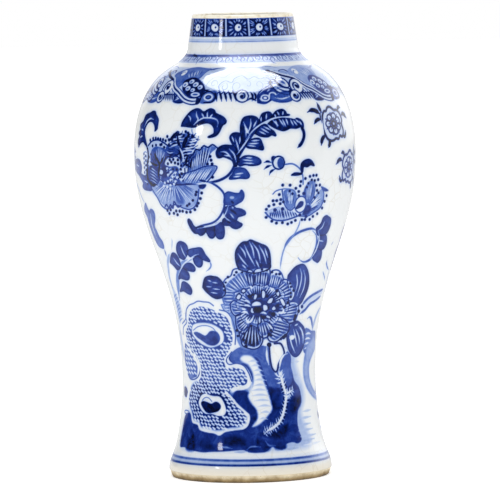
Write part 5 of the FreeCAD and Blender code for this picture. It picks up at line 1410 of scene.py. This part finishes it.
side_leaf.line([(-71, 149), (-75, 153), (-80, 158), (-87, 160.5)], 1.2, 0.4, 0.2, layer=wash)
side_leaf.area([(-68.5, 104), (-66, 102), (-63.8, 97), (-62.6, 93), (-63.4, 90), (-67, 87), (-70.5, 84),
    (-73, 86), (-72, 91), (-71, 96), (-70.5, 100)], 0.26, soft=2)
for height in np.arange(86, 101, 1.9):
    side_leaf.line([(-72.5, height - 1.6), (-68, height), (-63.6, height + 1)], 0.9, 0.46, 0.4, layer=wash)
side_leaf.line([(-74.5, 83), (-75.5, 76), (-74.5, 70), (-73, 64)], 3.6, 0.24, 0.3, layer=wash)


# Cobalt bleeds a little into the glaze round every stroke as it melts, so a faint halo is
# added to the wash before the painting goes onto the rings.
BLEED = 0.34
spread = np.maximum(wash, ink)
for step in (1, 2, 3, 3):
    upper = np.vstack([spread[step:], spread[-step:]])
    lower = np.vstack([spread[:step], spread[:-step]])
    spread = (spread + np.roll(spread, step, 1) + np.roll(spread, -step, 1) + upper + lower) / 5
wash[:] = np.maximum(wash, BLEED * spread)

# The painted glaze itself: nine rings, one on another, each as fine as the brush grid, so
# that the cobalt lies in the glaze as it does on the pot.
def scaled(tree, value, low, high, first, last, kind="LINEAR"):
    """A value between low and high turned into one between first and last."""
    return node(tree, "ShaderNodeMapRange", {"interpolation_type": kind}, Value=value, i1=low, i2=high,
        i3=first, i4=last).outputs["Result"]


painted_glaze, tree, shader = new_material("painted_glaze")
place = place_of(tree)
washed = node(tree, "ShaderNodeAttribute", {"attribute_name": "wash"})
inked = node(tree, "ShaderNodeAttribute", {"attribute_name": "ink"})
pools = node(tree, "ShaderNodeTexNoise", Vector=place, Scale=210, Detail=4, Roughness=0.62, Distortion=0.6)
heaps = node(tree, "ShaderNodeTexNoise", Vector=place, Scale=620, Detail=3, Roughness=0.6)
pool_share = scaled(tree, pools.outputs["Fac"], 0.32, 0.68, 0.86, 1.1)
heap_share = scaled(tree, heaps.outputs["Fac"], 0.3, 0.7, 0.93, 1.03)
pooled_wash = product(tree, washed.outputs["Fac"], pool_share)
heaped_ink = product(tree, inked.outputs["Fac"], heap_share)
density = node(tree, "ShaderNodeMath", {"operation": "MAXIMUM"}, i0=pooled_wash, i1=heaped_ink)
cobalt = ramp(tree, density.outputs[0], [(0.0, GLAZE_WHITE), (0.2, colour(178, 197, 232)),
    (0.42, colour(102, 133, 202)), (0.6, colour(48, 81, 168)), (0.78, colour(17, 43, 125)),
    (0.9, colour(6, 25, 84)), (1.0, colour(5, 12, 44))])
glaze_surface(tree, shader, cobalt, 0.4)

RING_COAT = 0.3
INNER_EVERY = 12
FOOT_END = [(43.8, 3.87), (43.98, 3.98)]
LIP_END = [(27.42, 248.03), (27.22, 248.15), (27.04, 248.2)]
skin = np.column_stack([row_radius, row_height])
slope = np.gradient(skin, axis=0)
slope /= np.hypot(slope[:, 0], slope[:, 1])[:, None]
underside = skin + np.column_stack([-slope[:, 1], slope[:, 0]]) * RING_COAT
RINGS = ("glaze_foot", "glaze_ground", "glaze_waist", "glaze_rock", "glaze_blossom", "glaze_belly",
    "glaze_garden", "glaze_crown", "glaze_neck")
ring_rows = np.linspace(0, len(skin) - 1, len(RINGS) + 1).round().astype(int)
BAND_COUNTS = (1, 2, 3, 4, 5, 6, 8)
MAP_GAP = 0.006
PAINTED_PART = 0.94
HIDDEN_PART = (0.95, 0.04)
SKIN_DEPTH = 0.1


def paint_ring(piece, first, last):
    """Gives each corner of the ring its place on the grid: its paint and its own map."""
    mesh = piece.data
    corner = np.empty(len(mesh.vertices) * 3, np.float32)
    mesh.vertices.foreach_get("co", corner)
    corner = corner.reshape(-1, 3).astype(float)
    azimuth = np.degrees(np.arctan2(corner[:, 0], -corner[:, 1]))
    column = np.round((azimuth + HALF_TURN) * COLUMNS / FULL_TURN).astype(int) % COLUMNS
    row = np.interp(corner[:, 2] / MM, row_height, np.arange(len(row_height)))
    nearest = np.round(row).astype(int)
    for layer_name, layer in (("wash", wash), ("ink", ink)):
        attribute = mesh.attributes.new(layer_name, "FLOAT", "POINT")
        attribute.data.foreach_set("value", layer[nearest, column].astype(np.float32))
    corner_of = np.empty(len(mesh.loops), np.int32)
    mesh.loops.foreach_get("vertex_index", corner_of)
    corner_of = corner_of.reshape(-1, 4)
    away = np.hypot(corner[:, 0], corner[:, 1]) / MM - np.interp(row, np.arange(len(row_radius)),
        row_radius)
    outside = (away[corner_of] > -SKIN_DEPTH).all(axis=1)
    turn = column[corner_of]
    turn = np.where(turn - turn.min(axis=1, keepdims=True) > COLUMNS / 2, turn - COLUMNS, turn)
    wanted = math.sqrt(2 * math.pi * skin[first:last, 0].mean() / ((last - first) * ROW_STEP))
    bands = min(BAND_COUNTS, key=lambda count: abs(count - wanted))
    per_band = COLUMNS / bands
    band = np.floor((turn.min(axis=1) % COLUMNS) / per_band)
    turn = turn + np.where(turn.min(axis=1, keepdims=True) < 0, COLUMNS, 0)
    across = turn / per_band - band[:, None]
    up = np.clip((row[corner_of] - first) / (last - first), 0, 1)
    inner = 1 - 2 * MAP_GAP
    share = (PAINTED_PART - MAP_GAP) / bands
    flat_u = MAP_GAP + across * inner
    flat_v = MAP_GAP + (band[:, None] + MAP_GAP + up * inner) * share
    hidden_v = HIDDEN_PART[0] + HIDDEN_PART[1] * up
    uv = np.stack([flat_u, np.where(outside[:, None], flat_v, hidden_v)], -1)
    uv_layer = mesh.uv_layers.new(name="OFBake")
    uv_layer.data.foreach_set("uv", uv.astype(np.float32).ravel())


for number, name in enumerate(RINGS):
    first, last = ring_rows[number], ring_rows[number + 1]
    low_end = FOOT_END if number == 0 else []
    high_end = LIP_END if number == len(RINGS) - 1 else []
    deeper = list(range(last, first, -INNER_EVERY)) + [first]
    profile = low_end + [tuple(point) for point in skin[first:last + 1]] + high_end
    profile += [tuple(underside[row]) for row in deeper]
    piece = turned(name, profile, COLUMNS, painted_glaze)
    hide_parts("outer_glaze")
    paint_ring(piece, first, last)

# The vase stands on a white table in a white tent. The tent is brighter behind the vase,
# so its sides shine, and a round lamp overhead is mirrored in the shoulder.
world = bpy.data.worlds.new("tent")
bpy.context.scene.world = world
world.use_nodes = True
sky = world.node_tree
sky.nodes.clear()
rays = sky.nodes.new("ShaderNodeLightPath")
heading = node(sky, "ShaderNodeSeparateXYZ",
    Vector=sky.nodes.new("ShaderNodeTexCoord").outputs["Generated"])
backwards, upwards = heading.outputs["Y"], heading.outputs["Z"]
toward = node(sky, "ShaderNodeMath", {"operation": "MULTIPLY_ADD"}, i0=backwards, i1=0.88,
    i2=product(sky, heading.outputs["X"], 0.48))
tent = scaled(sky, toward.outputs[0], 0.25, 1.0, 0.04, 3.0, "SMOOTHSTEP")
tent = product(sky, tent, scaled(sky, backwards, 0.9, 1.0, 1.0, 0.6, "SMOOTHSTEP"))
tent = product(sky, tent, scaled(sky, upwards, 0.2, 0.6, 1.0, 0.35))
tent = product(sky, tent, scaled(sky, upwards, 0.0, 0.3, 0.42, 1.0, "SMOOTHSTEP"))
seen = node(sky, "ShaderNodeBackground", Strength=1.0)
mirrored = node(sky, "ShaderNodeBackground", Strength=tent)
around = node(sky, "ShaderNodeBackground", Strength=0.7)
for each in (seen, mirrored, around):
    each.inputs["Color"].default_value = (1, 1, 1, 1)
first_mix = node(sky, "ShaderNodeMixShader", Fac=rays.outputs["Is Glossy Ray"])
sky.links.new(around.outputs[0], first_mix.inputs[1])
sky.links.new(mirrored.outputs[0], first_mix.inputs[2])
second_mix = node(sky, "ShaderNodeMixShader", Fac=rays.outputs["Is Camera Ray"])
sky.links.new(first_mix.outputs[0], second_mix.inputs[1])
sky.links.new(seen.outputs[0], second_mix.inputs[2])
sky.links.new(second_mix.outputs[0], sky.nodes.new("ShaderNodeOutputWorld").inputs["Surface"])

VASE_MIDDLE = Vector((0, 0, 0.13))


def lamp(name, spot, wide, high, watts, shape="RECTANGLE", mirrored_only=False):
    """An area lamp turned to the middle of the vase."""
    data = bpy.data.lights.new(name, "AREA")
    data.shape = shape
    data.size = wide
    data.size_y = high
    data.energy = watts
    made = bpy.data.objects.new(name, data)
    bpy.context.collection.objects.link(made)
    made.location = spot
    made.rotation_euler = (VASE_MIDDLE - made.location).to_track_quat("-Z", "Y").to_euler()
    made.visible_diffuse = not mirrored_only
    made.visible_glossy = mirrored_only
    return made


lamp("overhead_disc", Vector((-0.03, -0.08, 1.7)), 1.6, 1.6, 64, "DISK", True)
lamp("window_strip", Vector((-1.51, -1.31, 0.72)), 0.24, 0.26, 2.2, "RECTANGLE", True)
lamp("front_fill", Vector((-0.7, -2.2, 1.5)), 1.4, 1.4, 4.6)
lamp("top_fill", Vector((0.1, -0.3, 2.2)), 1.6, 1.6, 6)

bm = bmesh.new()
bmesh.ops.create_grid(bm, x_segments=2, y_segments=2, size=8)
floor_mesh = bpy.data.meshes.new("table_top")
bm.to_mesh(floor_mesh)
bm.free()
floor = bpy.data.objects.new("table_top", floor_mesh)
bpy.context.collection.objects.link(floor)
floor_paint, tree, shader = new_material("white_table")
paper = node(tree, "ShaderNodeTexNoise", Vector=place_of(tree), Scale=30, Detail=2)
white = ramp(tree, paper.outputs["Fac"], [(0.2, colour(250, 250, 250)), (0.8, colour(255, 255, 255))])
tree.links.new(white, shader.inputs["Base Color"])
shader.inputs["Roughness"].default_value = 0.9
shader.inputs["Specular IOR Level"].default_value = 0.1
shader.inputs["Emission Color"].default_value = (1, 1, 1, 1)
shader.inputs["Emission Strength"].default_value = 0.45
dull = node(tree, "ShaderNodeBsdfDiffuse", Color=(0.12, 0.12, 0.12, 1))
depth = node(tree, "ShaderNodeSeparateXYZ", Vector=place_of(tree)).outputs["Y"]
glossy_ray = tree.nodes.new("ShaderNodeLightPath").outputs["Is Glossy Ray"]
in_front = product(tree, scaled(tree, depth, -0.6, 0.0, 1.0, 0.35), glossy_ray)
floor_mix = node(tree, "ShaderNodeMixShader", Fac=in_front)
tree.links.new(shader.outputs["BSDF"], floor_mix.inputs[1])
tree.links.new(dull.outputs["BSDF"], floor_mix.inputs[2])
tree.links.new(floor_mix.outputs[0], tree.nodes["Material Output"].inputs["Surface"])
floor_mesh.materials.append(floor_paint)
